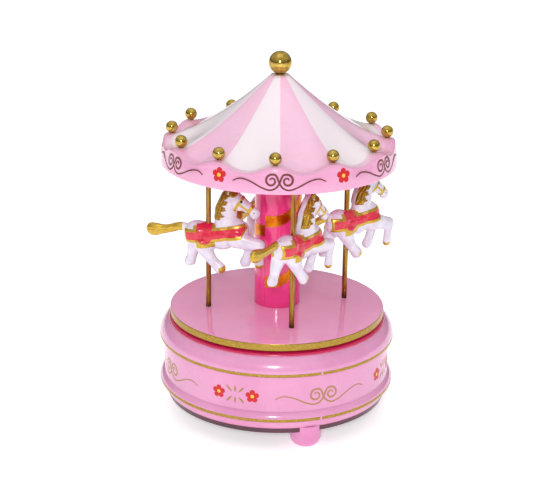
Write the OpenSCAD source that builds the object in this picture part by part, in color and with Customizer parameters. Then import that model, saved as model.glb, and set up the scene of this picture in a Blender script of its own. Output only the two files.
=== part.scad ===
// Hand-wound carousel music box. Millimetres, +Z up, front towards -Y.
// Origin: on the resting plane, under the carousel's turning axis.

/* [Base] */
// Widest diameter of the base moulding
base_d = 110; // [106:1:140]
// Height of the base wall, from the bottom cover to the deck
wall_h = 35.6; // [33:0.2:46]
// Wall thickness of the base moulding
base_wall = 2; // [1.6:0.1:2.6]
// Ground clearance under the base wall
foot_h = 10.8; // [9.8:0.2:14]
// Diameter of each foot
foot_d = 14.6; // [13:0.2:18]
// Angle of the first foot, from the front towards +X
foot_turn = 17.7; // [0:0.1:40]
// Thickness of the bottom cover
cover_t = 2.4; // [2:0.1:3]

/* [Carousel] */
// Diameter of the turning platform
platform_d = 100; // [94:1:120]
// Thickness of the platform at its rim
platform_t = 3.6; // [3:0.1:5]
// Rise of the platform's top towards the column
platform_rise = 1.4; // [0.6:0.1:2]
// Air gap between deck and platform
platform_gap = 1.1; // [0.8:0.1:2]
// Outside diameter of the column
column_d = 21.4; // [18:0.2:26]
// Wall thickness of the column halves
column_wall = 1.6; // [1.2:0.1:2]
// Angle of the column's seam, from the front towards +X
seam_turn = -33; // [-90:1:90]
// Free height between platform rim and canopy edge
stage_h = 70; // [66:1:90]

/* [Canopy] */
// Diameter of the canopy's lower edge
canopy_d = 107.7; // [100:0.1:130]
// Height of the canopy band, up to the seats of the balls
band_h = 11.75; // [10:0.05:16]
// Height of the roof above the band
roof_h = 28.15; // [22:0.05:36]
// Wall thickness of the roof moulding
roof_wall = 1.8; // [1.4:0.1:2.4]
// Diameter of the twelve rim balls
rim_ball_d = 5.6; // [4:0.1:7]
// Diameter of the circle that the rim balls stand on
rim_ball_ring_d = 97.74; // [90:0.01:110]
// Diameter of the ball on top
finial_d = 10.4; // [8:0.2:13]

/* [Horses] */
// Diameter of each pole
pole_d = 2.4; // [2:0.1:3]
// Diameter of the circle that the poles stand on
pole_ring_d = 65.2; // [64:0.1:76]
// Angle of the first pole, from the front towards +X
pole_turn = 12; // [0:1:44]
// Size of a horse, where 1 is 55 mm from knee to tail
horse_size = 1; // [0.85:0.01:1.05]

/* [Movement] */
// Height of the cylinder's axis above the bedplate
drum_axis_h = 7.5; // [7.4:0.1:9]
// Diameter of the pinned cylinder
drum_d = 13; // [11:0.2:13]
// Length of the pinned cylinder
drum_len = 19; // [16:0.5:19]
// Notes in the comb
notes = 18; // [12:1:22]
// Diameter of the spring barrel
barrel_d = 24.4; // [20:0.2:24.6]
// Height of the spring barrel
barrel_h = 14; // [12:0.2:16]
// Diameter of the winding arbor
arbor_d = 4; // [3:0.1:5]
// Thickness of the bedplate
bedplate_t = 2.5; // [2:0.1:3.5]
// Width of the winding key
key_w = 22.4; // [18:0.2:28]

/* [Fits] */
// Running clearance on the radius of each bearing
run_fit = 0.05; // [0.02:0.01:0.08]
// Gap between pieces that never touch
air = 0.3; // [0.2:0.05:0.4]

/* [Hidden] */
$fn = 96;
base_r = base_d / 2;
cover_z = foot_h - cover_t;
deck_z = foot_h + wall_h;
platform_z = deck_z + platform_gap;
stage_z = platform_z + platform_t;
column_z = stage_z + platform_rise;
canopy_z = stage_z + stage_h;
platform_r = platform_d / 2;
column_r = column_d / 2;
column_bore_r = column_r - column_wall;

// Base wall, rings and feet
waist_r = base_r - 2.1;
skirt_r = base_r - 2.85;
cover_r = base_r - 3.6;
lower_ring_z = foot_h + 5.4;
upper_ring_z = deck_z - 8.4;
deck_t = 2.2;
deck_hole_r = 8;
foot_ring_r = base_r - 9.7;
foot_pad_r = 4.2;
foot_widest_z = foot_h - 3.4;
foot_angles = [for (k = [0:2]) foot_turn + 120 * k];
screw_r = 1.5;
screw_head_r = 2.4;
screw_head_t = 1.8;
screw_well_z = 5;
screw_boss_r = 3.5;
screw_boss_h = 13;

// Movement, laid out along X from the carousel's axis
standoff_h = 3.2;
bed_z = foot_h + standoff_h;
bed_top = bed_z + bedplate_t;
standoffs = [[-11, -9], [22, 16], [30, -25]];
standoff_r = 3;
ratchet_r = 7;
ratchet_t = 1.6;
ratchet_z = foot_h + 0.8;
arbor_r = arbor_d / 2;
barrel_r = barrel_d / 2;
barrel_z = bed_top + 0.5;
barrel_floor = 1.4;
barrel_wall = 1.3;
barrel_top = barrel_z + barrel_h;
lid_t = 1.2;
post_r = 2.5;
post_flange_r = 7;
post_top = column_z + 6;
rod_r = 1.5;
drum_z = bed_top + drum_axis_h;
drum_r = drum_d / 2;
pin_h = 0.8;
pin_r = 0.2;
crown_teeth = 36;
crown_module = 0.8;
crown_pinion_teeth = 12;
crown_pitch_r = crown_teeth * crown_module / 2;
pinion_pitch_r = crown_pinion_teeth * crown_module / 2;
crown_pitch_z = drum_z - pinion_pitch_r;
crown_tooth_up = 0.52;
crown_tooth_down = 0.8;
crown_face = 1.2;
crown_outer_r = crown_pitch_r + 0.8;
drum_x = crown_pitch_r + 2.9;
drum_end = drum_x + drum_len;
drum_bar_x = crown_pitch_r + 1.2;
drum_bar_t = 1.2;
gear_module = 0.5;
gear_teeth = 30;
pinion_teeth = 10;
gear_addendum = 0.325;
gear_dedendum = 0.45;
gear_x = drum_end + 0.2;
gear_t = 1.4;
gear_slot = 0.35;
gear_slot_y = 4;
governor_y = (gear_teeth + pinion_teeth) * gear_module / 2 + 0.05;
wheel_teeth = 20;
wheel_r = 5;
wheel_x = gear_x + gear_t + 0.7;
wheel_t = 1.2;
worm_pitch = 2 * PI * wheel_r / wheel_teeth;
worm_turns = 3;
worm_core_r = 1.05;
worm_shift = 0.4;
spindle_x = wheel_x + wheel_t / 2;
spindle_y = governor_y + wheel_r + 1.1;
spindle_r = 0.6;
fan_r = 3.6;
fan_z = drum_z + 5.6;
fan_h = 3.4;
frame_x0 = spindle_x - 4.7;
frame_x1 = spindle_x + 4.3;
frame_t = 0.8;
frame_y0 = 8.4;
frame_y1 = spindle_y + 4.2;
frame_top = fan_z + fan_h + 2.5;
comb_y = -drum_r - pin_h - 0.15;
comb_len = 11.5;
comb_back = 10;
comb_t = 2.5;
tooth_t = 0.7;
bridge_z = barrel_top + lid_t + 1.8;
bridge_t = 2;
bridge_leg_r = 2.2;
bridge_leg_y = crown_outer_r + bridge_leg_r + 0.8;

// Canopy
canopy_r = canopy_d / 2;
seat_z = canopy_z + band_h;
ball_ring_r = rim_ball_ring_d / 2;
ball_r = rim_ball_d / 2;
ball_z = seat_z + ball_r + run_fit;
ball_turn = -1.8;
ball_peg_r = 0.9;
roof_top_r = 4.2;
roof_top_z = seat_z + roof_h;
roof_power = 1.45;
ceiling_z = canopy_z + 3;
ceiling_t = 2;
band_lean = 2.4;
band_foot = 2;
band_head = 4;
ceiling_rise = ceiling_z + ceiling_t - canopy_z - band_foot;
ceiling_r = canopy_r - roof_wall - run_fit
    - band_lean * ceiling_rise / (seat_z - band_head - canopy_z - band_foot);
finial_r = finial_d / 2;
finial_z = roof_top_z + finial_r + 0.3;
stem_r = 2.2;
nut_z = roof_top_z - 6.4;
nut_t = 2.4;
nut_r = 3.4;

// Horses: heading is the angle of the nose from +X, towards +Y
pole_ring_r = pole_ring_d / 2;
pole_r = pole_d / 2;
pole_angles = [for (k = [0:3]) pole_turn + 90 * k];
horse_headings = [52, 38, 65, -13];
horse_lifts = [3, 2.6, 1.5, 0];
horse_pitches = [0, 0, 0, -5.5];
horse_back = [0, 0, 36];
pole_socket = 2.4;

// ---- Shared shapes -------------------------------------------------------

// Places its children at an angle from the front towards +X, at a radius
module at(angle, radius, z = 0) {
    rotate([0, 0, angle]) translate([0, -radius, z]) children();
}

// Turns a flat outline to face along +X and gives it a thickness
module along_x(x, y, z, thick) {
    translate([x, y, z]) rotate([90, 0, 90]) linear_extrude(height = thick) children();
}

// Lays a shaft along X
module rod_x(x0, x1, y, z, r) {
    translate([x0, y, z]) rotate([0, 90, 0]) cylinder(h = x1 - x0, r = r);
}

// Points of an arc in the plane of a profile
function arc(cx, cy, r, a0, a1, steps) =
    [for (i = [0:steps]) let (a = a0 + (a1 - a0) * i / steps) [cx + r * cos(a), cy + r * sin(a)]];

// Radius of the arc that runs from a vertical tangent to a point dx in and dz along
function edge_radius(dx, dz) = (dx * dx + dz * dz) / (2 * dx);

// One flank point of an involute tooth, at a roll angle
function involute(base, roll) =
    base * [cos(roll) + roll * PI / 180 * sin(roll), sin(roll) - roll * PI / 180 * cos(roll)];

// Roll angle at which an involute reaches a radius
function roll_at(base, r) = r <= base ? 0 : sqrt(pow(r / base, 2) - 1) * 180 / PI;

// Polar angle of a point
function polar(p) = atan2(p[1], p[0]);

// Outline of one side of a tooth, from root to tip, around the tooth's centre line
function flank(teeth, module_, add, ded, slack) =
    let (pitch = teeth * module_ / 2, base = pitch * cos(20))
    let (turn = 90 / teeth - slack / pitch * 90 / PI + polar(involute(base, roll_at(base, pitch))))
    [for (i = [0:4])
        let (r = pitch - ded + (add + ded) * i / 4)
        let (q = involute(base, roll_at(base, r)))
        let (a = turn - polar(q))
        [r * cos(a), r * sin(a)]];

// A spur gear outline with a tooth on +X
module gear_outline(teeth, module_, add, ded, slack) {
    side = flank(teeth, module_, add, ded, slack);
    polygon([for (t = [0:teeth - 1]) for (i = [0:9])
        let (p = i < 5 ? [side[i][0], -side[i][1]] : side[9 - i])
        let (a = 360 * t / teeth)
        [p[0] * cos(a) - p[1] * sin(a), p[0] * sin(a) + p[1] * cos(a)]]);
}

// ---- Base ----------------------------------------------------------------

function base_outline() = concat(
    [[skirt_r, foot_h], [skirt_r, lower_ring_z - 1]],
    [[base_r - 0.4, lower_ring_z - 0.8]],
    arc(base_r - edge_radius(2.1, 3.3), lower_ring_z, edge_radius(2.1, 3.3), 0, 65, 8),
    [[waist_r, lower_ring_z + 3.3], [waist_r, upper_ring_z - 1.4], [base_r - 0.2, upper_ring_z - 1]],
    arc(base_r - 8.85, upper_ring_z, 8.85, 0, 56.7, 12),
    [[base_r - 4.8, deck_z]]);

module base_shell() color([0.91, 0.67, 0.80]) difference() {
    union() {
        rotate_extrude($fn = 128) polygon(concat(
            base_outline(),
            [[deck_hole_r, deck_z], [deck_hole_r, deck_z - deck_t],
             [base_r - 8, deck_z - deck_t], [waist_r - base_wall, upper_ring_z - 1],
             [waist_r - base_wall, lower_ring_z], [skirt_r - base_wall, lower_ring_z - 2],
             [skirt_r - base_wall, foot_h]]));
        for (a = foot_angles) at(a, foot_ring_r, foot_h) {
            cylinder(h = screw_boss_h, r = screw_boss_r, $fn = 48);
            translate([-1, -skirt_r + foot_ring_r + base_wall / 2, 0]) cube([2, 4, screw_boss_h]);
        }
    }
    for (a = foot_angles) at(a, foot_ring_r, foot_h - 1)
        cylinder(h = screw_boss_h - 1, r = screw_r, $fn = 32);
}

module bottom_cover() color([0.30, 0.09, 0.17]) difference() {
    union() {
        translate([0, 0, cover_z]) cylinder(h = cover_t, r = cover_r, $fn = 128);
        for (p = standoffs) translate([p[0], p[1], cover_z])
            cylinder(h = cover_t + standoff_h, r = standoff_r, $fn = 48);
    }
    translate([0, 0, cover_z - 1]) cylinder(h = cover_t + 2, r = arbor_r + 1);
    for (a = foot_angles) at(a, foot_ring_r, cover_z - 1)
        cylinder(h = cover_t + 2, r = screw_r + 0.2, $fn = 32);
    for (p = standoffs) translate([p[0], p[1], cover_z - 1]) {
        cylinder(h = cover_t + standoff_h + 2, r = screw_r + 0.1, $fn = 32);
        cylinder(h = 1 + screw_head_t, r = screw_head_r + 0.2, $fn = 32);
    }
}

// A moulded foot; its outer lip covers the edge of the bottom cover
module foot(angle) {
    foot_r = foot_d / 2;
    curve_r = edge_radius(foot_r - foot_pad_r, foot_widest_z);
    reach = asin(foot_widest_z / curve_r);
    difference() {
        at(angle, foot_ring_r) rotate_extrude($fn = 64) polygon(concat(
            [[0, 0]],
            arc(foot_r - curve_r, foot_widest_z, curve_r, -reach, 0, 10),
            [[foot_r, foot_h], [0, foot_h]]));
        translate([0, 0, cover_z]) cylinder(h = cover_t + 1, r = cover_r, $fn = 128);
        at(angle, foot_ring_r, -1) cylinder(h = screw_well_z + 1, r = screw_head_r + 0.2, $fn = 48);
        at(angle, foot_ring_r, 0) cylinder(h = foot_h, r = screw_r + 0.1, $fn = 32);
    }
}

module foot_1() color([0.87, 0.60, 0.76]) foot(foot_angles[0]);
module foot_2() color([0.87, 0.60, 0.76]) foot(foot_angles[1]);
module foot_3() color([0.87, 0.60, 0.76]) foot(foot_angles[2]);

// A screw driven upwards, with its head below z
module screw_up(z, length) {
    translate([0, 0, z]) cylinder(h = length, r = screw_r, $fn = 32);
    difference() {
        translate([0, 0, z - screw_head_t]) cylinder(h = screw_head_t, r = screw_head_r, $fn = 32);
        translate([-3, -0.3, z - screw_head_t - 1]) cube([6, 0.6, 1.7]);
    }
}

// A screw driven downwards, with its head above z
module screw_down(z, length, r) {
    translate([0, 0, z - length]) cylinder(h = length, r = r, $fn = 32);
    difference() {
        translate([0, 0, z]) cylinder(h = 1, r = 1.8 * r, $fn = 32);
        translate([-3, -0.2, z + 0.5]) cube([6, 0.4, 1]);
    }
}

module foot_screws() color("silver")
    for (a = foot_angles) at(a, foot_ring_r) screw_up(screw_well_z, foot_h + 8 - screw_well_z);

// ---- Movement: fixed pieces ----------------------------------------------

comb_x0 = drum_x + 0.4;
comb_x1 = drum_end - 0.4;
comb_y1 = comb_y - comb_len;
comb_y2 = comb_y1 - comb_back;
comb_z = drum_z - tooth_t / 2;
comb_screw_x = [comb_x0 + 4, comb_x1 - 4];
comb_screw_y = comb_y2 + 5;
governor_screw_x = [frame_x0 + 2.2, frame_x1 - 1.6];
governor_screw_y = frame_y1 - 1.6;
small_screw_r = 0.9;

module bedplate() color([0.72, 0.72, 0.70]) difference() {
    union() {
        translate([0, 0, bed_z]) linear_extrude(height = bedplate_t) polygon([
            [-15, -13], [-15, 13], [-8, bridge_leg_y + 3], [12, bridge_leg_y + 3],
            [frame_x0 - 2, frame_y1 + 0.2], [frame_x1 + frame_t, frame_y1 + 0.2],
            [frame_x1 + frame_t, -4], [comb_x1 + 1, -12], [comb_x1 + 1, comb_y2 - 0.3],
            [comb_x0 - 1, comb_y2 - 0.3], [comb_x0 - 3, -bridge_leg_y - 3], [-8, -bridge_leg_y - 3]]);
        translate([comb_x0 - 0.4, comb_y2, bed_z]) cube([
            comb_x1 - comb_x0 + 0.8, comb_back - 0.5, comb_z - bed_z]);
    }
    translate([0, 0, bed_z - 1]) cylinder(h = bedplate_t + 2, r = arbor_r + run_fit);
    translate([gear_x - gear_slot, -gear_slot_y, bed_z - 1])
        cube([gear_t + 2 * gear_slot, 2 * gear_slot_y, bedplate_t + 2]);
    for (p = standoffs) translate([p[0], p[1], bed_z - 1])
        cylinder(h = bedplate_t, r = screw_r, $fn = 32);
    for (y = [-bridge_leg_y, bridge_leg_y]) translate([0, y, bed_top - 2])
        cylinder(h = 3, r = small_screw_r, $fn = 32);
    for (x = comb_screw_x) translate([x, comb_screw_y, comb_z - 3])
        cylinder(h = 4, r = small_screw_r, $fn = 32);
    for (x = governor_screw_x) translate([x, governor_screw_y, bed_top - 2])
        cylinder(h = 3, r = small_screw_r, $fn = 32);
}

module movement_screws() color("silver")
    for (p = standoffs) translate([p[0], p[1], 0])
        screw_up(cover_z + screw_head_t, bed_z + bedplate_t - 1.2 - cover_z - screw_head_t);

module barrel_bridge() color([0.75, 0.74, 0.70]) difference() {
    union() {
        translate([0, 0, bridge_z]) cylinder(h = bridge_t, r = 6);
        translate([-bridge_leg_r, -bridge_leg_y, bridge_z])
            cube([2 * bridge_leg_r, 2 * bridge_leg_y, bridge_t]);
        for (y = [-bridge_leg_y, bridge_leg_y]) translate([0, y, bed_top])
            cylinder(h = bridge_z + bridge_t - bed_top, r = bridge_leg_r, $fn = 48);
    }
    translate([0, 0, bridge_z - 1]) cylinder(h = bridge_t + 2, r = post_r + run_fit);
    for (y = [-bridge_leg_y, bridge_leg_y]) translate([0, y, bed_top - 1])
        cylinder(h = bridge_z + bridge_t - bed_top + 2, r = small_screw_r, $fn = 32);
}

module bridge_screws() color("silver")
    for (y = [-bridge_leg_y, bridge_leg_y]) translate([0, y, 0])
        screw_down(bridge_z + bridge_t, bridge_z + bridge_t - bed_top + 1.8, small_screw_r);

module comb() color([0.80, 0.82, 0.84]) difference() {
    union() {
        translate([comb_x0, comb_y1, comb_z]) cube([comb_x1 - comb_x0, comb_len, tooth_t]);
        translate([comb_x0, comb_y2, comb_z]) cube([comb_x1 - comb_x0, comb_back, comb_t]);
    }
    for (i = [1:notes - 1])
        translate([comb_x0 + (comb_x1 - comb_x0) * i / notes - 0.12, comb_y1 + 0.8, comb_z - 1])
            cube([0.24, comb_len, tooth_t + 2]);
    for (x = comb_screw_x) translate([x, comb_screw_y, comb_z - 1])
        cylinder(h = comb_t + 2, r = small_screw_r, $fn = 32);
}

module comb_screws() color("silver")
    for (x = comb_screw_x) translate([x, comb_screw_y, 0])
        screw_down(comb_z + comb_t, comb_t + 2.8, small_screw_r);

module drum_bracket() color([0.72, 0.72, 0.70]) difference() {
    translate([drum_bar_x, -3, bed_top]) cube([drum_bar_t, 6, drum_axis_h + 3]);
    rod_x(drum_bar_x - 1, drum_bar_x + drum_bar_t + 1, 0, drum_z, 1 + run_fit);
}

module governor_frame() color([0.78, 0.70, 0.45]) difference() {
    union() {
        translate([frame_x0, frame_y0, bed_top])
            cube([frame_x1 + frame_t - frame_x0, frame_y1 - frame_y0, 1.6]);
        translate([frame_x0 - frame_t, frame_y0, bed_top])
            cube([frame_t, frame_y1 - frame_y0, frame_top - bed_top]);
        translate([frame_x1, -3, bed_top]) cube([frame_t, frame_y0 + 3.5, drum_axis_h + 3]);
        translate([frame_x1, frame_y0, bed_top])
            cube([frame_t, frame_y1 - frame_y0, frame_top - bed_top]);
        translate([frame_x0 - frame_t, spindle_y - 2, frame_top - 1.4])
            cube([frame_x1 - frame_x0 + 2 * frame_t, frame_y1 - spindle_y + 2, 1.4]);
    }
    rod_x(frame_x1 - 1, frame_x1 + frame_t + 1, 0, drum_z, 1 + run_fit);
    rod_x(frame_x0 - 2, frame_x1 + frame_t + 1, governor_y, drum_z, 0.7 + run_fit);
    translate([spindle_x, spindle_y, bed_top - 1])
        cylinder(h = frame_top - bed_top + 2, r = spindle_r + run_fit, $fn = 32);
    for (x = governor_screw_x) translate([x, governor_screw_y, bed_top - 1])
        cylinder(h = 3, r = small_screw_r, $fn = 32);
}

module governor_screws() color("silver")
    for (x = governor_screw_x) translate([x, governor_screw_y, 0])
        screw_down(bed_top + 1.6, 3.4, small_screw_r);

// A flat spring whose tip rides at the ratchet's rim
module click_spring() color([0.80, 0.82, 0.84]) {
    translate([ratchet_r + run_fit + 0.1, -5, ratchet_z]) cube([0.5, 6, ratchet_t]);
    translate([ratchet_r + run_fit + 0.1, -8, ratchet_z]) cube([3, 3, bed_z - ratchet_z]);
}

// ---- Winding -------------------------------------------------------------

key_z = 1.4;
key_t = 1.8;
key_hub_r = 3;
key_hub_top = cover_z - 0.4;
key_lobe_r = (key_hub_top - key_z) / 2 - 0.1;

module winding_key() color([0.83, 0.67, 0.30]) difference() {
    union() {
        translate([0, 0, key_z]) cylinder(h = key_hub_top - key_z, r = key_hub_r);
        for (s = [-1, 1]) translate([s * (key_w / 2 - key_lobe_r), key_t / 2, key_z + key_lobe_r])
            rotate([90, 0, 0]) cylinder(h = key_t, r = key_lobe_r);
        translate([-key_w / 2 + key_lobe_r, -key_t / 2, key_z + 1.6])
            cube([key_w - 2 * key_lobe_r, key_t, 2 * key_lobe_r - 3.2]);
    }
    translate([0, 0, key_z + 1.6]) cylinder(h = key_hub_top, r = arbor_r - 0.4);
}

module winding_arbor() color("silver") {
    translate([0, 0, key_z + 1.6]) cylinder(h = foot_h - key_z - 1.6, r = arbor_r - 0.4);
    translate([0, 0, cover_z + 0.2]) cylinder(h = barrel_top - 0.4 - cover_z - 0.2, r = arbor_r);
}

module ratchet_wheel() color([0.83, 0.67, 0.30]) difference() {
    translate([0, 0, ratchet_z]) linear_extrude(height = ratchet_t)
        polygon([for (a = [0:20:340]) for (p = [[ratchet_r, a], [ratchet_r - 1, a + 19]])
            [p[0] * cos(p[1]), p[0] * sin(p[1])]]);
    translate([0, 0, ratchet_z - 1]) cylinder(h = ratchet_t + 2, r = arbor_r);
}

// ---- Spring barrel and carousel drive ------------------------------------

module spring_barrel() color([0.80, 0.66, 0.34]) difference() {
    union() {
        translate([0, 0, barrel_z]) cylinder(h = barrel_h, r = barrel_r);
        translate([0, 0, barrel_z])
            cylinder(h = crown_pitch_z - crown_tooth_down - barrel_z, r = crown_outer_r);
        for (k = [0:crown_teeth - 1]) rotate([0, 0, (k + 0.5) * 360 / crown_teeth])
            along_x(barrel_r - 0.5, 0, crown_pitch_z, crown_outer_r - barrel_r + 0.5)
                polygon([[-0.77, -crown_tooth_down - 0.1], [0.77, -crown_tooth_down - 0.1],
                         [0.29, crown_tooth_up], [-0.29, crown_tooth_up]]);
    }
    translate([0, 0, barrel_z + barrel_floor]) cylinder(h = barrel_h, r = barrel_r - barrel_wall);
    translate([0, 0, barrel_z - 1]) cylinder(h = barrel_h, r = arbor_r + run_fit);
}

module barrel_lid() color([0.83, 0.69, 0.37]) difference() {
    translate([0, 0, barrel_top]) cylinder(h = lid_t, r = barrel_r);
    translate([0, 0, barrel_top - 1]) cylinder(h = lid_t + 2, r = post_r);
}

// A flat strip wound from the arbor to the barrel wall
spring_turns = 5;
spring_strip = 0.4;
spring_steps = 150;
spring_r0 = arbor_r + 0.8;
spring_r1 = barrel_r - barrel_wall - spring_strip - 0.1;
function spiral(offset) = [for (i = [0:spring_steps])
    let (t = i / spring_steps, r = spring_r0 + (spring_r1 - spring_r0) * t + offset)
    [r * cos(360 * spring_turns * t), r * sin(360 * spring_turns * t)]];
function reversed(list) = [for (i = [len(list) - 1:-1:0]) list[i]];

module mainspring() color([0.35, 0.38, 0.42])
    translate([0, 0, barrel_z + barrel_floor + 0.2])
        linear_extrude(height = barrel_h - barrel_floor - 0.6)
            polygon(concat(spiral(0), reversed(spiral(spring_strip))));

module drive_post() color("silver") difference() {
    union() {
        translate([0, 0, barrel_top]) cylinder(h = post_top - barrel_top, r = post_r);
        translate([0, 0, platform_z - 2.6]) cylinder(h = 2.6, r = post_flange_r);
    }
    translate([0, 0, platform_z + 1]) cylinder(h = post_top, r = rod_r);
}

// ---- Platform, column and rod --------------------------------------------

module platform() color([0.92, 0.64, 0.80]) difference() {
    rotate_extrude($fn = 128) polygon([
        [post_r, platform_z], [platform_r - 0.4, platform_z], [platform_r, platform_z + 0.4],
        [platform_r, stage_z - 0.4], [platform_r - 0.4, stage_z],
        [column_r + 1, column_z], [column_bore_r - 0.1, column_z], [column_bore_r - 0.1, column_z + 3],
        [column_bore_r - 1.6, column_z + 3], [column_bore_r - 1.6, column_z], [post_r, column_z]]);
    for (a = pole_angles) at(a, pole_ring_r, platform_z + 0.8)
        cylinder(h = platform_t + 4, r = pole_r + run_fit, $fn = 48);
}

module platform_nut() color("silver") difference() {
    translate([0, 0, column_z]) cylinder(h = 2.6, r = 5, $fn = 6);
    translate([0, 0, column_z - 1]) cylinder(h = 5, r = post_r);
}

// Half of the column, on the side that angle points to from the seam
module column_half(side) {
    rotate([0, 0, seam_turn - 90]) difference() {
        translate([0, 0, column_z]) cylinder(h = ceiling_z - column_z, r = column_r);
        translate([0, 0, column_z - 1]) cylinder(h = ceiling_z - column_z + 2, r = column_bore_r);
        translate([-50, side > 0 ? -100 : 0, column_z - 1])
            cube([100, 100, ceiling_z - column_z + 2]);
    }
}

module column_front() color([0.93, 0.42, 0.70]) column_half(1);
module column_back() color([0.93, 0.42, 0.70]) column_half(-1);

module tie_rod() color("silver")
    translate([0, 0, platform_z + 1]) cylinder(h = roof_top_z - 0.8 - platform_z - 1, r = rod_r);

// ---- Canopy --------------------------------------------------------------

// Height of the tent's surface at a radius
function roof_z(r) = seat_z
    + roof_h * pow((ball_ring_r - r) / (ball_ring_r - roof_top_r), roof_power);
roof_steps = 14;
function roof_line(drop) = [for (i = [0:roof_steps])
    let (r = ball_ring_r + (roof_top_r - ball_ring_r) * i / roof_steps) [r, roof_z(r) - drop]];

module canopy_ceiling() color([0.85, 0.45, 0.62]) difference() {
    union() {
        translate([0, 0, ceiling_z]) cylinder(h = ceiling_t, r = ceiling_r, $fn = 128);
        translate([0, 0, ceiling_z - 4]) cylinder(h = 4, r = column_bore_r - 0.1);
    }
    translate([0, 0, ceiling_z - 5]) cylinder(h = ceiling_t + 10, r = rod_r);
    for (a = pole_angles) at(a, pole_ring_r, ceiling_z - 1)
        cylinder(h = ceiling_t + 2, r = pole_r + run_fit, $fn = 48);
}

module canopy_roof() color([0.96, 0.78, 0.88]) difference() {
    rotate_extrude($fn = 128) polygon(concat(
        [[canopy_r - 0.5, canopy_z], [canopy_r, canopy_z + 0.6], [canopy_r - 0.1, canopy_z + 2]],
        [[canopy_r - 1.2, seat_z - 3.2], [canopy_r - 2.2, seat_z - 1], [canopy_r - 3.4, seat_z]],
        roof_line(0),
        [[stem_r, roof_top_z], [stem_r, roof_top_z - 1.6 * roof_wall]],
        reversed(roof_line(1.3 * roof_wall)),
        [[canopy_r - band_lean - roof_wall, seat_z - band_head],
         [canopy_r - roof_wall, canopy_z + band_foot],
         [canopy_r - roof_wall, canopy_z]]));
    for (k = [0:11]) at(ball_turn + 30 * k, ball_ring_r, seat_z - 4)
        cylinder(h = 8, r = ball_peg_r, $fn = 32);
}

module roof_nut() color("silver") difference() {
    translate([0, 0, nut_z]) cylinder(h = nut_t, r = nut_r, $fn = 6);
    translate([0, 0, nut_z - 1]) cylinder(h = nut_t + 2, r = rod_r);
}

module finial_ball() color([0.80, 0.65, 0.30]) difference() {
    union() {
        translate([0, 0, finial_z]) sphere(r = finial_r);
        translate([0, 0, roof_top_z - 2.6]) cylinder(h = finial_z - roof_top_z + 2.6, r = stem_r);
    }
    translate([0, 0, roof_top_z - 3]) cylinder(h = 2.4, r = rod_r);
}

module rim_ball(k) color([0.80, 0.65, 0.30]) at(ball_turn + 30 * k, ball_ring_r) {
    translate([0, 0, ball_z]) sphere(r = ball_r, $fn = 64);
    translate([0, 0, seat_z - 2]) cylinder(h = ball_z - seat_z + 2, r = ball_peg_r, $fn = 32);
}

// ---- Cylinder and governor -----------------------------------------------

module pinned_cylinder() color([0.84, 0.71, 0.38]) difference() {
    union() {
        rod_x(drum_x, drum_end, 0, drum_z, drum_r);
        for (i = [0:notes - 1]) for (k = [0:3])
            translate([comb_x0 + (comb_x1 - comb_x0) * (i + 0.5) / notes, 0, drum_z])
                rotate([37 * i * i + 91 * k + 13, 0, 0])
                    cylinder(h = drum_r + pin_h, r = pin_r, $fn = 6);
    }
    rod_x(drum_x - 1, drum_end + 1, 0, drum_z, 1);
}

module cylinder_gear() color([0.83, 0.67, 0.30]) difference() {
    along_x(gear_x, 0, drum_z, gear_t)
        gear_outline(gear_teeth, gear_module, gear_addendum, gear_dedendum, 0.06);
    rod_x(gear_x - 1, gear_x + gear_t + 1, 0, drum_z, 1);
}

module cylinder_pinion() color([0.83, 0.67, 0.30]) difference() {
    along_x(crown_pitch_r - crown_face / 2, 0, drum_z, crown_face) rotate(90)
        gear_outline(crown_pinion_teeth, crown_module, crown_tooth_up, crown_tooth_down, 0.1);
    rod_x(crown_pitch_r - 3, crown_pitch_r + 3, 0, drum_z, 1);
}

module cylinder_arbor() color("silver")
    rod_x(crown_pitch_r - crown_face / 2, frame_x1 + frame_t, 0, drum_z, 1);

module governor_wheel() color([0.83, 0.67, 0.30]) difference() {
    along_x(wheel_x, governor_y, drum_z, wheel_t) {
        circle(r = wheel_r - 0.45);
        for (k = [0:wheel_teeth - 1]) rotate(360 * k / wheel_teeth)
            polygon([[wheel_r - 0.7, -0.36], [wheel_r + 0.3, -0.11],
                     [wheel_r + 0.3, 0.11], [wheel_r - 0.7, 0.36]]);
    }
    rod_x(wheel_x - 1, wheel_x + wheel_t + 1, governor_y, drum_z, 0.7);
}

module governor_pinion() color("silver") {
    rod_x(frame_x0 - frame_t, frame_x1 + frame_t, governor_y, drum_z, 0.7);
    along_x(gear_x - 0.2, governor_y, drum_z, gear_t + 0.4) rotate(180 / pinion_teeth)
        gear_outline(pinion_teeth, gear_module, gear_addendum, gear_dedendum, 0.06);
}

module worm_spindle() color("silver") translate([spindle_x, spindle_y, 0]) {
    translate([0, 0, bed_top + 0.2])
        cylinder(h = frame_top - bed_top - 0.4, r = spindle_r, $fn = 32);
    translate([0, 0, drum_z - worm_turns * worm_pitch / 2])
        linear_extrude(height = worm_turns * worm_pitch, twist = -360 * worm_turns,
                       slices = 48, $fn = 16)
            translate([0, -worm_shift]) circle(r = worm_core_r, $fn = 16);
}

module fan() color([0.83, 0.67, 0.30]) translate([spindle_x, spindle_y, fan_z]) difference() {
    union() {
        cylinder(h = fan_h, r = 1.2, $fn = 48);
        translate([-fan_r, -0.25, 0]) cube([2 * fan_r, 0.5, fan_h]);
    }
    translate([0, 0, -1]) cylinder(h = fan_h + 2, r = spindle_r, $fn = 32);
}

// ---- Poles and horses ----------------------------------------------------

module pole(k) color([0.72, 0.52, 0.28]) at(pole_angles[k], pole_ring_r, platform_z + 0.9)
    cylinder(h = ceiling_z + ceiling_t - 0.2 - platform_z - 0.9, r = pole_r, $fn = 48);

// A rounded limb between two places, each [forward, side, up, radius], 0.8 as thick as high
module limb(a, b) {
    hull() for (p = [a, b]) translate([p[0], p[1], p[2]]) scale([1, 0.8, 1]) sphere(r = p[3], $fn = 14);
}

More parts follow.
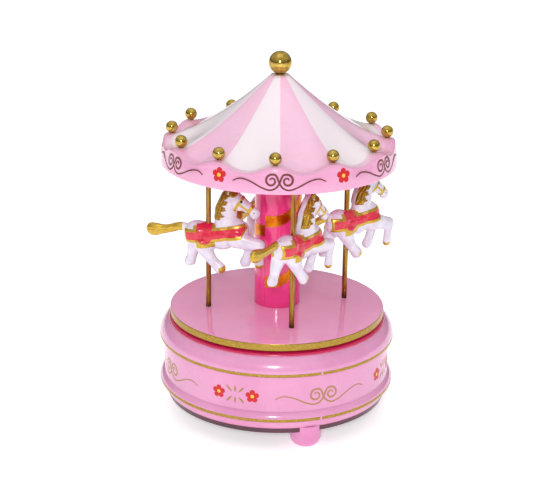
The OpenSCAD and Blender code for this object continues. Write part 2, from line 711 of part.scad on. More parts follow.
// A galloping horse facing +X, its pole hole at the origin
module horse_body() {
    limb([-4.8, 0, 36.4, 6.4], [3, 0, 35.4, 6.2]);
    limb([3, 0, 35.4, 6.2], [12.6, 0, 37.2, 6.6]);
    limb([9.6, 0, 41, 5.2], [10.2, 0, 51.2, 4]);
    limb([13.4, 0, 53.2, 3.8], [10.6, 0, 51.4, 4.6]);
    limb([13.6, 0, 53, 3.6], [23.8, 0, 45.4, 2.4]);
    limb([12.6, 1.4, 56.2, 1], [12.8, 1.6, 59, 0.6]);
    limb([12.6, -1.4, 56.2, 1], [12.8, -1.6, 59, 0.6]);
    limb([-11.4, 0, 39.8, 1.9], [-20, 0, 38.8, 1.9]);
    limb([-20, 0, 38.8, 1.9], [-26, 0, 38.6, 3]);
    limb([-6.6, 2.2, 33, 3.6], [-9.6, 2.4, 27.2, 2.7]);
    limb([-9.6, 2.4, 27.2, 2.7], [-10.8, 2.4, 22.6, 2.2]);
    limb([-2.4, -2.2, 31.4, 3.8], [0.4, -2.4, 25, 2.6]);
    limb([0.4, -2.4, 25, 2.6], [5, -2.4, 20.2, 2.2]);
    limb([14.2, -2, 34.6, 4], [24.8, -2.4, 31, 2.6]);
    limb([24.8, -2.4, 31, 2.6], [23.4, -2.4, 22.4, 2.2]);
    limb([13.4, 2, 33, 3.4], [18.2, 2.4, 27.6, 2.5]);
    limb([18.2, 2.4, 27.6, 2.5], [15.4, 2.4, 21.4, 2.1]);
}

module horse(k) color([0.93, 0.91, 0.93])
    at(pole_angles[k], pole_ring_r, stage_z + horse_lifts[k])
        rotate([0, 0, horse_headings[k] - pole_angles[k]]) difference() {
            scale(horse_size) translate(horse_back) rotate([0, horse_pitches[k], 0])
                translate(-horse_back) horse_body();
            cylinder(h = 100, r = pole_r - 0.02, $fn = 24);
        }

base_shell();
bottom_cover();
foot_1();
foot_2();
foot_3();
foot_screws();
bedplate();
movement_screws();
barrel_bridge();
bridge_screws();
comb();
comb_screws();
drum_bracket();
governor_frame();
governor_screws();
click_spring();
winding_key();
winding_arbor();
ratchet_wheel();
spring_barrel();
barrel_lid();
mainspring();
drive_post();
platform();
platform_nut();
column_front();
column_back();
tie_rod();
canopy_ceiling();
canopy_roof();
roof_nut();
finial_ball();
rim_ball(0);  // rim_ball_01
rim_ball(1);  // rim_ball_02
rim_ball(2);  // rim_ball_03
rim_ball(3);  // rim_ball_04
rim_ball(4);  // rim_ball_05
rim_ball(5);  // rim_ball_06
rim_ball(6);  // rim_ball_07
rim_ball(7);  // rim_ball_08
rim_ball(8);  // rim_ball_09
rim_ball(9);  // rim_ball_10
rim_ball(10);  // rim_ball_11
rim_ball(11);  // rim_ball_12
pinned_cylinder();
cylinder_gear();
cylinder_pinion();
cylinder_arbor();
governor_wheel();
governor_pinion();
worm_spindle();
fan();
pole(0);  // pole_1
pole(1);  // pole_2
pole(2);  // pole_3
pole(3);  // pole_4
horse(0);  // horse_1
horse(1);  // horse_2
horse(2);  // horse_3
horse(3);  // horse_4
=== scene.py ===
# %% [markdown]
# A wound music box in the form of a small carousel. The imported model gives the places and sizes; this
# lesson builds what the eye sees around it, piece by piece, and paints it with procedural materials.

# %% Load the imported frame
import math

import bmesh
import bpy
import numpy as np
from mathutils import Matrix, Vector


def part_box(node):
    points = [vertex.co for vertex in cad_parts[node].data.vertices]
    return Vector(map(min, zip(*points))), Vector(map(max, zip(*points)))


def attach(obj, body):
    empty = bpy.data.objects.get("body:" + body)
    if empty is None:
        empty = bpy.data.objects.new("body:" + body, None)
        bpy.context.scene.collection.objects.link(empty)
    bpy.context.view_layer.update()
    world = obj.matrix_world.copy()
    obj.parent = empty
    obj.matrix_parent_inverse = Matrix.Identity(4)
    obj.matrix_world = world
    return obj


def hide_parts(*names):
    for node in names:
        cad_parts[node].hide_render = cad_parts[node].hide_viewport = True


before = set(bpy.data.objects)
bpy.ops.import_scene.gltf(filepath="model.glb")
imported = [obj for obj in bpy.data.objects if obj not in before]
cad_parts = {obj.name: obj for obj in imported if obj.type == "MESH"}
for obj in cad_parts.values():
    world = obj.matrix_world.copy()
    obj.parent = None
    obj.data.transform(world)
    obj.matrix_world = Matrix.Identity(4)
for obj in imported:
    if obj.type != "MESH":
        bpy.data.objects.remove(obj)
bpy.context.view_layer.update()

# %% [markdown]
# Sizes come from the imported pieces, in millimetres, so that every new piece fits the mechanism. Blender
# works in metres: a piece is modelled in millimetres and scaled once, when it is finished.

# %% Sizes taken from the frame
MM = 0.001


def box_mm(node):
    """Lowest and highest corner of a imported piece, in millimetres."""
    low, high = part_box(node)
    return low / MM, high / MM


shell_low, shell_high = box_mm("base_shell")
cover_low, cover_high = box_mm("bottom_cover")
platform_low, platform_high = box_mm("platform")
column_low, column_high = box_mm("column_back")
roof_low, roof_high = box_mm("canopy_roof")

base_r = (shell_high.x - shell_low.x) / 2 + 0.05
wall_z = shell_low.z
deck_z = shell_high.z
cover_z = cover_low.z
cover_r = (cover_high.x - cover_low.x) / 2
platform_r = (platform_high.x - platform_low.x) / 2
platform_z = platform_low.z
stage_z = platform_z + 3.6
column_z = column_low.z
column_top = column_high.z
column_r = 10.7
canopy_r = (roof_high.x - roof_low.x) / 2 + 0.1
canopy_z = roof_low.z
roof_top_z = roof_high.z
print("base", round(base_r, 1), "platform", round(platform_r, 1), "canopy", round(canopy_r, 1))

# %% [markdown]
# The picture is taken from the front, a little above the platform, with a long lens. The camera is set
# by its place and by three directions, because a studio camera is levelled by eye and not exactly.

# %% Camera
VIEW_DISTANCE = 0.68278
VIEW_HEIGHT = 0.31805
VIEW_DOWN = 0.3387
VIEW_TURN = -0.0018
VIEW_ROLL = 0.0136
LENS = 101.69
SENSOR = 36


def make_camera():
    """A long lens on the front of the box, looking down at it."""
    forward = Vector((
        math.sin(VIEW_TURN) * math.cos(VIEW_DOWN),
        math.cos(VIEW_TURN) * math.cos(VIEW_DOWN),
        -math.sin(VIEW_DOWN)))
    right = forward.cross(Vector((0, 0, 1))).normalized()
    up = right.cross(forward)
    rolled_right = right * math.cos(VIEW_ROLL) + up * math.sin(VIEW_ROLL)
    rolled_up = up * math.cos(VIEW_ROLL) - right * math.sin(VIEW_ROLL)
    turn = Matrix((rolled_right, rolled_up, -forward)).transposed().to_4x4()
    data = bpy.data.cameras.new("camera")
    data.lens = LENS
    data.sensor_width = SENSOR
    camera = bpy.data.objects.new("camera", data)
    bpy.context.scene.collection.objects.link(camera)
    camera.matrix_world = Matrix.Translation((0, -VIEW_DISTANCE, VIEW_HEIGHT)) @ turn
    bpy.context.scene.camera = camera
    return camera


camera = make_camera()
bpy.context.scene.view_settings.view_transform = "Standard"
print("camera", [round(v, 3) for v in camera.location], "lens", round(camera.data.lens, 1))

# %% [markdown]
# Shader maths reads badly as a list of nodes. Here a small class wraps a socket, so that a mask can be
# written as an expression, and each operator adds its Math node.

# %% Shader maths as expressions


class Wire:
    """A value in a material, which can be added, multiplied and compared."""

    def __init__(self, paint, socket):
        self.paint = paint
        self.socket = socket

    def maths(self, operation, *others):
        values = dict(enumerate((self, *others)))
        return self.paint.add("Math", {"operation": operation}, values)

    def __add__(self, other):
        return self.maths("ADD", other)

    __radd__ = __add__

    def __mul__(self, other):
        return self.maths("MULTIPLY", other)

    __rmul__ = __mul__

    def __sub__(self, other):
        return self.maths("SUBTRACT", other)

    def __rsub__(self, other):
        return self * -1 + other

    def __truediv__(self, other):
        return self.maths("DIVIDE", other)

    def power(self, other):
        return self.maths("POWER", other)

    def cosine(self):
        return self.maths("COSINE")

    def between(self, low, high):
        """0 under low, 1 over high, smooth between them."""
        return self.paint.add(
            "MapRange", {"interpolation_type": "SMOOTHSTEP"}, {0: self, 1: low, 2: high, 3: 0, 4: 1})


class Nodes:
    """A node tree, and one way to add any node to it."""

    def __init__(self, tree):
        self.tree = tree

    def add(self, kind, settings, values, out=0):
        """Adds a node with its settings first, then its sockets; returns one output."""
        node = self.tree.nodes.new("ShaderNode" + kind)
        for key, value in settings.items():
            if key == "stops":
                ramp = node.color_ramp
                while len(ramp.elements) < len(value):
                    ramp.elements.new(0.5)
                for element, (place, colour) in zip(ramp.elements, value):
                    element.position = place
                    element.color = colour
            else:
                setattr(node, key, value)
        for key, value in values.items():
            self.feed(node.inputs[key], value)
        return Wire(self, node.outputs[out])

    def feed(self, socket, value):
        if isinstance(value, Wire):
            self.tree.links.new(value.socket, socket)
        else:
            socket.default_value = value

    def place(self, scale=1.0):
        """The point on the piece, in millimetres times scale."""
        coordinates = self.add("TexCoord", {}, {}, "Object")
        return self.add("VectorMath", {"operation": "SCALE"}, {0: coordinates, "Scale": scale / MM})

    def stretch(self, vector, x, y, z):
        return self.add("VectorMath", {"operation": "MULTIPLY"}, {0: vector, 1: (x, y, z)})

    def axis(self, vector, name):
        return self.add("SeparateXYZ", {}, {0: vector}, name)

    def attribute(self, name, out="Fac"):
        return self.add("Attribute", {"attribute_name": name}, {}, out)

    def noise(self, vector, scale, detail=3.0, rough=0.5):
        values = {"Vector": vector, "Scale": scale, "Detail": detail, "Roughness": rough}
        return self.add("TexNoise", {}, values)

    def mix(self, factor, first, second):
        """A colour between first and second."""
        settings = {"data_type": "RGBA", "clamp_factor": True}
        return self.add("Mix", settings, {0: factor, 6: first, 7: second}, 2)

    def bump(self, height, depth, strength=1.0):
        """Normals for a relief of a few micrometres; depth is in millimetres."""
        values = {"Height": height, "Distance": depth * MM, "Strength": strength}
        return self.add("Bump", {}, values)


class Paint(Nodes):
    """A material on the Principled shader, and the nodes that feed it."""

    def __init__(self, name, **constants):
        self.material = bpy.data.materials.new(name)
        self.material.use_nodes = True
        super().__init__(self.material.node_tree)
        self.shader = self.tree.nodes["Principled BSDF"]
        for key, value in constants.items():
            self.shader.inputs[key.replace("_", " ")].default_value = value

    def give(self, **inputs):
        """Feeds sockets of the shader that change over the surface."""
        for key, value in inputs.items():
            self.feed(self.shader.inputs[key.replace("_", " ")], value)
        return self.material


def rgb(red, green, blue):
    """A screen colour, 0 to 255, as the shader's linear colour."""
    def linear(c):
        c = c / 255
        return c / 12.92 if c <= 0.04045 else ((c + 0.055) / 1.055) ** 2.4
    return (linear(red), linear(green), linear(blue), 1.0)


print("a mid pink in linear light", [round(c, 3) for c in rgb(230, 160, 200)[:3]])

# %% [markdown]
# Moulded plastic is never one colour: pigment drifts a little over a hand's width, the gloss carries
# fine rubbing marks, and the surface has a faint orange peel. One recipe makes every moulded piece.

# %% Moulded plastic


def moulded(name, light, dark, rough=0.16, glow=0.05, peel=0.006):
    """Glossy injection-moulded plastic between two close colours."""
    paint = Paint(
        name, Specular_IOR_Level=0.5, Subsurface_Weight=glow, Subsurface_Scale=0.003,
        Coat_Roughness=0.05, Coat_IOR=1.5)
    spot = paint.place()
    drift = paint.noise(spot, 0.035, 2.0).between(0.3, 0.7)
    cloud = paint.noise(spot, 0.4, 4.0, 0.6).between(0.25, 0.8)
    rubbed = paint.noise(paint.stretch(spot, 0.5, 0.5, 6.0), 0.5, 5.0, 0.7).between(0.52, 0.75)
    skin = paint.noise(spot, 1.1, 2.0)
    grit = paint.noise(spot, 7.0, 2.0)
    colour = paint.mix(drift * 0.7 + cloud * 0.3, dark, light)
    return paint, colour, rough + rubbed * 0.09 + cloud * 0.03, paint.bump(skin + grit * 0.15, peel)


def finish_moulded(name, light, dark, coat=0.5, **options):
    paint, colour, rough, normal = moulded(name, light, dark, **options)
    return paint.give(Base_Color=colour, Roughness=rough, Normal=normal, Coat_Weight=coat)


foot_pink = finish_moulded("foot_pink", rgb(228, 146, 194), rgb(214, 126, 178))
platform_pink = finish_moulded("platform_pink", rgb(255, 178, 220), rgb(250, 164, 211), rough=0.06)
column_pink = finish_moulded(
    "column_pink", rgb(247, 66, 146), rgb(236, 46, 126), rough=0.16, glow=0.08)
ceiling_pink = finish_moulded("ceiling_pink", rgb(228, 96, 160), rgb(214, 80, 146), rough=0.3)
# The bottom cover is pink plastic; its dark plum is painted shade.
painted_shade_plum = finish_moulded("painted_shade_plum", rgb(84, 26, 50), rgb(66, 16, 36), rough=0.35)


def shell_material():
    """The wall's pink, with painted crimson shade round the edge of the deck under the platform, and
    painted shade at the wall's foot.
    """
    paint, colour, rough, normal = moulded("shell_pink", rgb(230, 160, 200), rgb(220, 144, 187))
    spot = paint.place()
    height = paint.axis(spot, "Z")
    # Painted shade: a crimson band round the deck's edge, where the platform's rim shades it.
    painted_crimson_shade = (height + paint.noise(spot, 0.4, 3.0) * 0.4).between(deck_z - 1.05, deck_z - 0.35)
    # Painted shade: the wall turns darker and deeper pink towards its foot.
    under = 1 - height.between(wall_z - 0.2, wall_z + 1.6)
    colour = paint.mix(painted_crimson_shade, colour, rgb(206, 24, 84))
    colour = paint.mix(under * 0.5, colour, rgb(196, 92, 142))
    return paint.give(Base_Color=colour, Roughness=rough, Normal=normal, Coat_Weight=0.5)


shell_pink = shell_material()
print("plastics made")

# %% [markdown]
# Three golds are on the object: bright vacuum plating on the balls, foil on the lines and the platform's
# rim, and thin gold paint. They differ in roughness and in how evenly they cover.

# %% Golds and metals


def metal(name, light, dark, rough, grain=(1.0, 1.0, 1.0), scale=0.6, worn=0.08, relief=0.004):
    """Metal whose tint and polish drift along a grain direction."""
    paint = Paint(name, Metallic=1.0)
    spot = paint.stretch(paint.place(), *grain)
    drift = paint.noise(spot, scale, 4.0, 0.6).between(0.3, 0.7)
    fine = paint.noise(spot, scale * 9, 3.0, 0.6)
    return paint.give(
        Base_Color=paint.mix(drift, dark, light), Roughness=rough + fine.between(0.35, 0.8) * worn,
        Normal=paint.bump(fine, relief))


plated_gold = metal("plated_gold", rgb(206, 178, 92), rgb(172, 138, 56), 0.15, scale=0.5, relief=0.001)
foil_gold = metal("foil_gold", rgb(186, 158, 76), rgb(146, 112, 46), 0.27, (1, 1, 2.5), 1.2, 0.12)
ribbon_gold = metal("ribbon_gold", rgb(232, 150, 44), rgb(196, 92, 18), 0.3, (1, 1, 1), 0.25, 0.1)
turned_brass = metal("turned_brass", rgb(222, 186, 104), rgb(196, 156, 76), 0.22, (1, 1, 5), 1.0)
bright_steel = metal("bright_steel", rgb(206, 208, 212), rgb(178, 181, 188), 0.24, (4, 4, 1), 1.0)
blued_steel = metal("blued_steel", rgb(84, 96, 124), rgb(58, 64, 84), 0.3, (1, 1, 4), 1.0)
cast_metal = metal("cast_metal", rgb(176, 176, 174), rgb(150, 150, 149), 0.45, scale=2.0, relief=0.02)


def pole_metal():
    """Drawn brass tube: long streaks of copper and olive, dark where it enters the platform."""
    paint = Paint("pole_brass", Metallic=1.0)
    spot = paint.place()
    height = paint.axis(spot, "Z")
    streaks = paint.noise(paint.stretch(spot, 1.6, 1.6, 0.05), 1.0, 4.0, 0.6).between(0.35, 0.65)
    patches = paint.noise(paint.stretch(spot, 0.6, 0.6, 0.12), 1.0, 3.0).between(0.4, 0.7)
    colour = paint.mix(streaks, rgb(122, 62, 40), rgb(168, 112, 62))
    colour = paint.mix(patches * 0.7, colour, rgb(158, 150, 52))
    foot = 1 - height.between(stage_z + 0.5, stage_z + 5)
    colour = paint.mix(foot * 0.8, colour, rgb(40, 24, 18))
    fine = paint.noise(paint.stretch(spot, 6, 6, 0.4), 1.0, 2.0)
    return paint.give(
        Base_Color=colour, Roughness=0.2 + fine * 0.16 + foot * 0.2, Normal=paint.bump(fine, 0.006))


pole_brass = pole_metal()


def ink(name, colour, rough=0.35):
    """A pad-printed ink with a slightly uneven cover."""
    paint = Paint(name)
    spot = paint.place()
    thin = paint.noise(spot, 2.5, 4.0, 0.65).between(0.45, 0.85)
    pale = tuple(0.9 * c + 0.1 for c in colour[:3]) + (1.0,)
    return paint.give(
        Base_Color=paint.mix(thin * 0.35, colour, pale), Roughness=rough + thin * 0.15,
        Normal=paint.bump(thin, 0.01))


flower_red = ink("flower_red", rgb(206, 8, 16))
flower_yellow = ink("flower_yellow", rgb(250, 196, 70))
scroll_brown = ink("scroll_brown", rgb(112, 44, 44))
scroll_gold = ink("scroll_gold", rgb(176, 128, 78))
print("metals and inks made")

# %% [markdown]
# Most of the toy is turned about one axis. A profile is drawn on one side of the axis and spun round it;
# the pieces that aren't round start that way too, and are then pushed into shape.

# %% Spinning, finishing and placing pieces


def arc(centre_r, centre_z, radius, start, end, steps):
    """Points of an arc in a profile, angles in degrees."""
    angles = np.radians(np.linspace(start, end, steps + 1))
    return [(centre_r + radius * math.cos(a), centre_z + radius * math.sin(a)) for a in angles]


def spun(profile, steps=192, closed=True, sweep=360.0, start=0.0):
    """A bmesh of a profile, [(radius, height), ...], spun about Z from an angle."""
    bm = bmesh.new()
    corner = [bm.verts.new((r, 0, z)) for r, z in profile]
    pairs = list(zip(corner, corner[1:] + corner[:1])) if closed else list(zip(corner, corner[1:]))
    edges = [bm.edges.new(pair) for pair in pairs]
    turn = Matrix.Rotation(math.radians(start), 3, "Z")
    bmesh.ops.rotate(bm, verts=bm.verts, matrix=turn)
    full = sweep >= 360
    if closed and not full:
        bmesh.ops.contextual_create(bm, geom=edges)
    geometry = bm.verts[:] + bm.edges[:] + bm.faces[:]
    bmesh.ops.spin(
        bm, geom=geometry, cent=(0, 0, 0), axis=(0, 0, 1), angle=math.radians(sweep),
        steps=steps, use_merge=full, use_duplicate=False)
    bmesh.ops.remove_doubles(bm, verts=bm.verts, dist=1e-4)
    bmesh.ops.recalc_face_normals(bm, faces=bm.faces)
    return bm


def place(name, bm, body, material, slot, stands_for=(), sharp=35):
    """Finishes a bmesh in millimetres as a piece that rides on a body."""
    bmesh.ops.scale(bm, vec=(MM, MM, MM), verts=bm.verts)
    mesh = bpy.data.meshes.new(name)
    bm.to_mesh(mesh)
    bm.free()
    mesh.shade_smooth()
    mesh.set_sharp_from_angle(angle=math.radians(sharp))
    piece = bpy.data.objects.new(name, mesh)
    bpy.context.scene.collection.objects.link(piece)
    for one in material if isinstance(material, (list, tuple)) else [material]:
        mesh.materials.append(one)
    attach(piece, body)
    if stands_for:
        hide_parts(*stands_for)
    return piece


def bearing(angle, radius):
    """A place at an angle from the front towards +X."""
    a = math.radians(angle)
    return Vector((radius * math.sin(a), -radius * math.cos(a), 0))


print("front", bearing(0, 1)[:2], "right", [round(v, 3) for v in bearing(90, 1)[:2]])

# %% [markdown]
# The base is one moulding: a skirt, a lower ring, a straight waist that carries the print, an upper ring
# and a rounded shoulder that ends in a low deck. Both rings are round above and sharp below, where a
# gold line runs along the widest edge.

# %% Base wall
SKIRT_IN = 2.85
WAIST_IN = 2.1
LOWER_LINE = 5.4
UPPER_LINE = -8.4
lower_line_z = wall_z + LOWER_LINE
upper_line_z = deck_z + UPPER_LINE
shoulder = 8.85
ring_round = (WAIST_IN ** 2 + 3.3 ** 2) / (2 * WAIST_IN)
skirt_r = base_r - SKIRT_IN
waist_r = base_r - WAIST_IN
WALL = 2.0

outer_wall = (
    [(skirt_r - 0.5, wall_z), (skirt_r - 0.15, wall_z + 0.15), (skirt_r, wall_z + 0.5)]
    + [(skirt_r, lower_line_z - 1.3), (skirt_r + 0.3, lower_line_z - 1.05)]
    + arc(base_r - 0.7, lower_line_z - 0.35, 0.7, -80, 0, 5)
    + arc(base_r - ring_round, lower_line_z, ring_round, 3, 64, 14)
    + [(waist_r, lower_line_z + 3.5), (waist_r, upper_line_z - 1.7)]
    + [(waist_r + 0.3, upper_line_z - 1.4)]
    + arc(base_r - 0.7, upper_line_z - 0.5, 0.7, -80, 0, 5)
    + arc(base_r - shoulder, upper_line_z, shoulder, 3, 55, 20)
    + [(base_r - 4.15, deck_z - 0.95)]
    + arc(base_r - 5.2, deck_z - 1.0, 1.0, 0, 90, 6))
inner_wall = [
    (8, deck_z), (8, deck_z - 2.2), (base_r - 8, deck_z - 2.2), (waist_r - WALL, upper_line_z - 1),
    (waist_r - WALL, lower_line_z), (skirt_r - WALL, lower_line_z - 2), (skirt_r - WALL, wall_z)]
base_wall = place(
    "base_wall", spun(outer_wall + inner_wall, 240), "base", shell_pink, "pink_shell", ["base_shell"])
print("base wall", len(base_wall.data.polygons), "faces")

# %% [markdown]
# The gold lines are hot foil: a hair of thickness on the ring's edge, with a gap where the two ends of
# the foil meet at the print seam, and one small chip. A partial spin leaves the gap.

# %% Gold lines on the base
SEAM_ANGLE = 22
CHIP_ANGLE = -45.5
FOIL = 0.07


def foil_line(name, z, start, end):
    """A foil strip on a ring's edge between two bearings."""
    rim = arc(base_r - 0.7, z - 0.45, 0.7 + FOIL, -48, 0, 5)
    rim += [(base_r + FOIL - 0.01, z + 0.15), (base_r + FOIL - 0.06, z + 0.5)]
    back = [(r - 2.5 * FOIL, h) for r, h in reversed(rim)]
    steps = max(8, round((end - start) / 1.5))
    bm = spun(rim + back, steps, True, end - start, start - 90)
    return place(name, bm, "base", foil_gold, "gold_plate", sharp=50)


for label, line_z in (("lower", lower_line_z), ("upper", upper_line_z)):
    chip = CHIP_ANGLE if label == "upper" else None
    ends = [SEAM_ANGLE + 0.45, (chip + 360 if chip else SEAM_ANGLE + 180), SEAM_ANGLE + 359.55]
    for part, (first, last) in enumerate(zip(ends, ends[1:])):
        gap = 0.3 if chip and part == 0 else 0.0
        foil_line(f"gold_line_{label}_{part + 1}", line_z, first, last - gap)
print("gold lines at", round(lower_line_z, 1), "and", round(upper_line_z, 1))

# %% [markdown]
# The base stands on three domed feet with a screw well in each. A foot's outer lip covers the edge of the
# bottom cover, painted dark plum as shade, so the cover's disc is cut out of a spun dome.

# %% Feet
FOOT_R = 7.5
FOOT_RING = base_r - 9.7
FOOT_PAD = 4.0
widest_z = wall_z - 4.6
cutter_bm = spun([(0, cover_z), (cover_r, cover_z), (cover_r, wall_z + 2), (0, wall_z + 2)], 192)


def cut(bm, cutter, operation="DIFFERENCE"):
    """Applies a boolean to a bmesh and returns the result as a new bmesh."""
    target_mesh = bpy.data.meshes.new("target")
    cutter_mesh = bpy.data.meshes.new("cutter")
    bm.to_mesh(target_mesh)
    cutter.to_mesh(cutter_mesh)
    target = bpy.data.objects.new("target", target_mesh)
    tool = bpy.data.objects.new("cutter", cutter_mesh)
    for one in (target, tool):
        bpy.context.scene.collection.objects.link(one)
    modifier = target.modifiers.new("cut", "BOOLEAN")
    modifier.operation = operation
    modifier.solver = "EXACT"
    modifier.object = tool
    bpy.context.view_layer.update()
    solved = target.evaluated_get(bpy.context.evaluated_depsgraph_get())
    result = bmesh.new()
    result.from_mesh(solved.to_mesh())
    for one in (target, tool):
        bpy.data.objects.remove(one)
    return result


for number in range(3):
    node = f"foot_{number + 1}"
    low, high = box_mm(node)
    centre = (low + high) / 2
    profile = (
        [(2.6, 5), (2.6, 0.3), (2.75, 0.05), (2.95, 0), (FOOT_PAD, 0)]
        + [(FOOT_PAD + (FOOT_R - FOOT_PAD) * math.sin(t), widest_z * (1 - math.cos(t)))
           for t in np.linspace(0.1, math.pi / 2, 18)]
        + [(FOOT_R, wall_z + 0.1), (1.6, wall_z + 0.1), (1.6, 5)])
    bm = spun(profile, 64)
    bmesh.ops.translate(bm, verts=bm.verts, vec=(centre.x, centre.y, 0))
    place(f"{node}_dome", cut(bm, cutter_bm), "base", foot_pink, "pink_shell", [node], 30)
cutter_bm.free()
print("feet on a circle of", round(FOOT_RING, 1))

# %% [markdown]
# The platform is a disc with a rounded rim. A strip of brushed gold foil covers the rim's straight part.

# %% Platform and its gold rim
PLATE = 3.6
rim_z = platform_z + PLATE
hub_r = column_r - 1.7
platform_profile = (
    [(2.5, platform_z), (platform_r - 0.5, platform_z)]
    + arc(platform_r - 0.5, platform_z + 0.5, 0.5, -90, 0, 5)
    + arc(platform_r - 0.5, rim_z - 0.5, 0.5, 0, 90, 6)
    + [(platform_r - 6, rim_z + 0.22), (platform_r - 18, rim_z + 0.72), (column_r + 3, column_z - 0.05)]
    + [(column_r + 1, column_z), (hub_r, column_z), (hub_r, column_z + 3)]
    + [(hub_r - 1.5, column_z + 3), (hub_r - 1.5, column_z), (2.5, column_z)])
place(
    "platform_disc", spun(platform_profile, 240), "carousel", platform_pink, "pink_platform", ["platform"])
band = arc(platform_r - 0.5, platform_z + 0.5, 0.5 + FOIL, -42, 0, 4)
band += arc(platform_r - 0.5, rim_z - 0.5, 0.5 + FOIL, 0, 40, 4)
band_back = [(r - 3 * FOIL, z) for r, z in reversed(band)]
place("platform_band", spun(band + band_back, 240), "carousel", foil_gold, "gold_plate", sharp=50)
print("platform radius", round(platform_r, 1), "band points", len(band))

# %% [markdown]
# The column is two half shells that meet in a seam, each carrying its own metallic ribbon. The ribbons
# don't line up at the seam, which is what tells a stranger that there are two shells.

# %% Column halves and ribbons
SEAM = -33
RIBBON_TALL = 5.3
RIBBON_RISE = 14.75
RIBBON_THICK = 0.16
column_wall = 1.6
half_profile = [
    (column_r - 0.25, column_z), (column_r, column_z + 0.25), (column_r, column_top),
    (column_r - column_wall, column_top), (column_r - column_wall, column_z)]
for name, start, node in (("column_shell_right", SEAM, "column_front"),
                          ("column_shell_left", SEAM + 180, "column_back")):
    bm = spun(half_profile, 72, True, 179.4, start - 90 + 0.3)
    place(name, bm, "carousel", column_pink, "hot_pink", [node], 30)


def ribbon(name, start, foot_z):
    """A foil ribbon that eases from level to steep and back across one half shell."""
    bm = spun([(column_r + RIBBON_THICK, -RIBBON_TALL / 2), (column_r + RIBBON_THICK, RIBBON_TALL / 2),
               (column_r - 0.1, RIBBON_TALL / 2), (column_r - 0.1, -RIBBON_TALL / 2)],
              90, True, 178.6, start - 90 + 0.7)
    for v in bm.verts:
        turn = (math.degrees(math.atan2(v.co.x, -v.co.y)) - start) % 360
        t = min(max(turn / 180, 0), 1) if turn < 270 else 0
        v.co.z += foot_z + RIBBON_RISE * (t - math.sin(2 * math.pi * t) / (2 * math.pi))
    return place(name, bm, "carousel", ribbon_gold, "gold_plate", sharp=40)


for number, foot_z in enumerate((65.2, 94.7)):
    ribbon(f"ribbon_right_{number + 1}", SEAM, foot_z)
for number, foot_z in enumerate((75.1, 104.4)):
    ribbon(f"ribbon_left_{number + 2}", SEAM + 180, foot_z)

# %% [markdown]
# The canopy is a tent of twelve panels. Ridges run down to the twelve balls, and between them the roof
# sags, so that the rim waves up and down. It is spun as a plain tent first, then every point drops by
# an amount that depends on its bearing and on how near the rim it is.

# %% Canopy tent
BALL_TURN = -1.8
SAG = 3.3
RIDGE = 1.2
ROOF_WALL = 1.8
ROOF_POWER = 1.45
ball_low, ball_high = box_mm("rim_ball_01")
ball_d = ball_high.x - ball_low.x
ball_r = ball_d / 2
ball_centre = Vector(((ball_low.x + ball_high.x) / 2, (ball_low.y + ball_high.y) / 2, ball_high.z - ball_r))
ball_ring = math.hypot(ball_centre.x, ball_centre.y)
seat_z = ball_centre.z - ball_r - 0.05
rise = roof_top_z - seat_z
TOP_R = 4.2


def tent_z(r):
    """Height of the plain tent at a radius."""
    share = max(0.0, min(1.0, (ball_ring - r) / (ball_ring - TOP_R)))
    return seat_z + rise * share ** ROOF_POWER


def band_r(z):
    """Outer radius of the canopy's band at a height."""
    t = min(max((z - canopy_z) / (seat_z - canopy_z), 0), 1)
    return canopy_r - 1.6 * t ** 1.4


roof_radii = [ball_ring + (TOP_R - ball_ring) * i / 40 for i in range(41)]
band_heights = [canopy_z + 1.4 + (seat_z - 2.4 - canopy_z - 1.4) * i / 10 for i in range(11)]
outer_tent = (
    arc(canopy_r - 0.7, canopy_z + 0.7, 0.7, -90, 0, 5)
    + [(band_r(z), z) for z in band_heights]
    + arc(band_r(seat_z - 2.4) - 1.9, seat_z - 2.0, 1.9, 12, 92, 8)
    + [(ball_ring + 0.6, seat_z - 0.02)]
    + [(r, tent_z(r)) for r in roof_radii])
inner_tent = (
    [(2.2, roof_top_z), (2.2, roof_top_z - 2.6)]
    + [(r, tent_z(r) - 1.3 * ROOF_WALL) for r in reversed(roof_radii)]
    + [(canopy_r - 2.4 - ROOF_WALL, seat_z - 5.5), (canopy_r - ROOF_WALL, canopy_z + 2)]
    + [(canopy_r - ROOF_WALL, canopy_z)])


def wave(angle):
    """1 on a ridge, 0 halfway between two, for a bearing in degrees."""
    swing = (1 + math.cos(math.radians(12 * (angle - BALL_TURN)))) / 2
    return swing ** RIDGE


def sag_at(r, z, angle):
    """How far the tent hangs below its ridge line at a place."""
    if r > ball_ring:
        share = min(max((z - canopy_z - 3) / (seat_z - canopy_z - 3), 0), 1) ** 1.2
    else:
        share = (r / ball_ring) ** 4
    return SAG * share * (1 - wave(angle))


tent_bm = spun(outer_tent + inner_tent, 384)
for v in tent_bm.verts:
    r = math.hypot(v.co.x, v.co.y)
    v.co.z -= sag_at(r, v.co.z, math.degrees(math.atan2(v.co.x, -v.co.y)))
bmesh.ops.recalc_face_normals(tent_bm, faces=tent_bm.faces)
print("tent faces", len(tent_bm.faces))

# %% [markdown]
# The roof's panels alternate between white and pale pink, and the band below the rim is a deeper pink.
# All three come from one material: the bearing picks the panel, and the height of the waving rim
# separates roof from band.

# %% Canopy material
PANEL_TURN = 2.6
PANEL_SPREAD = 0.14


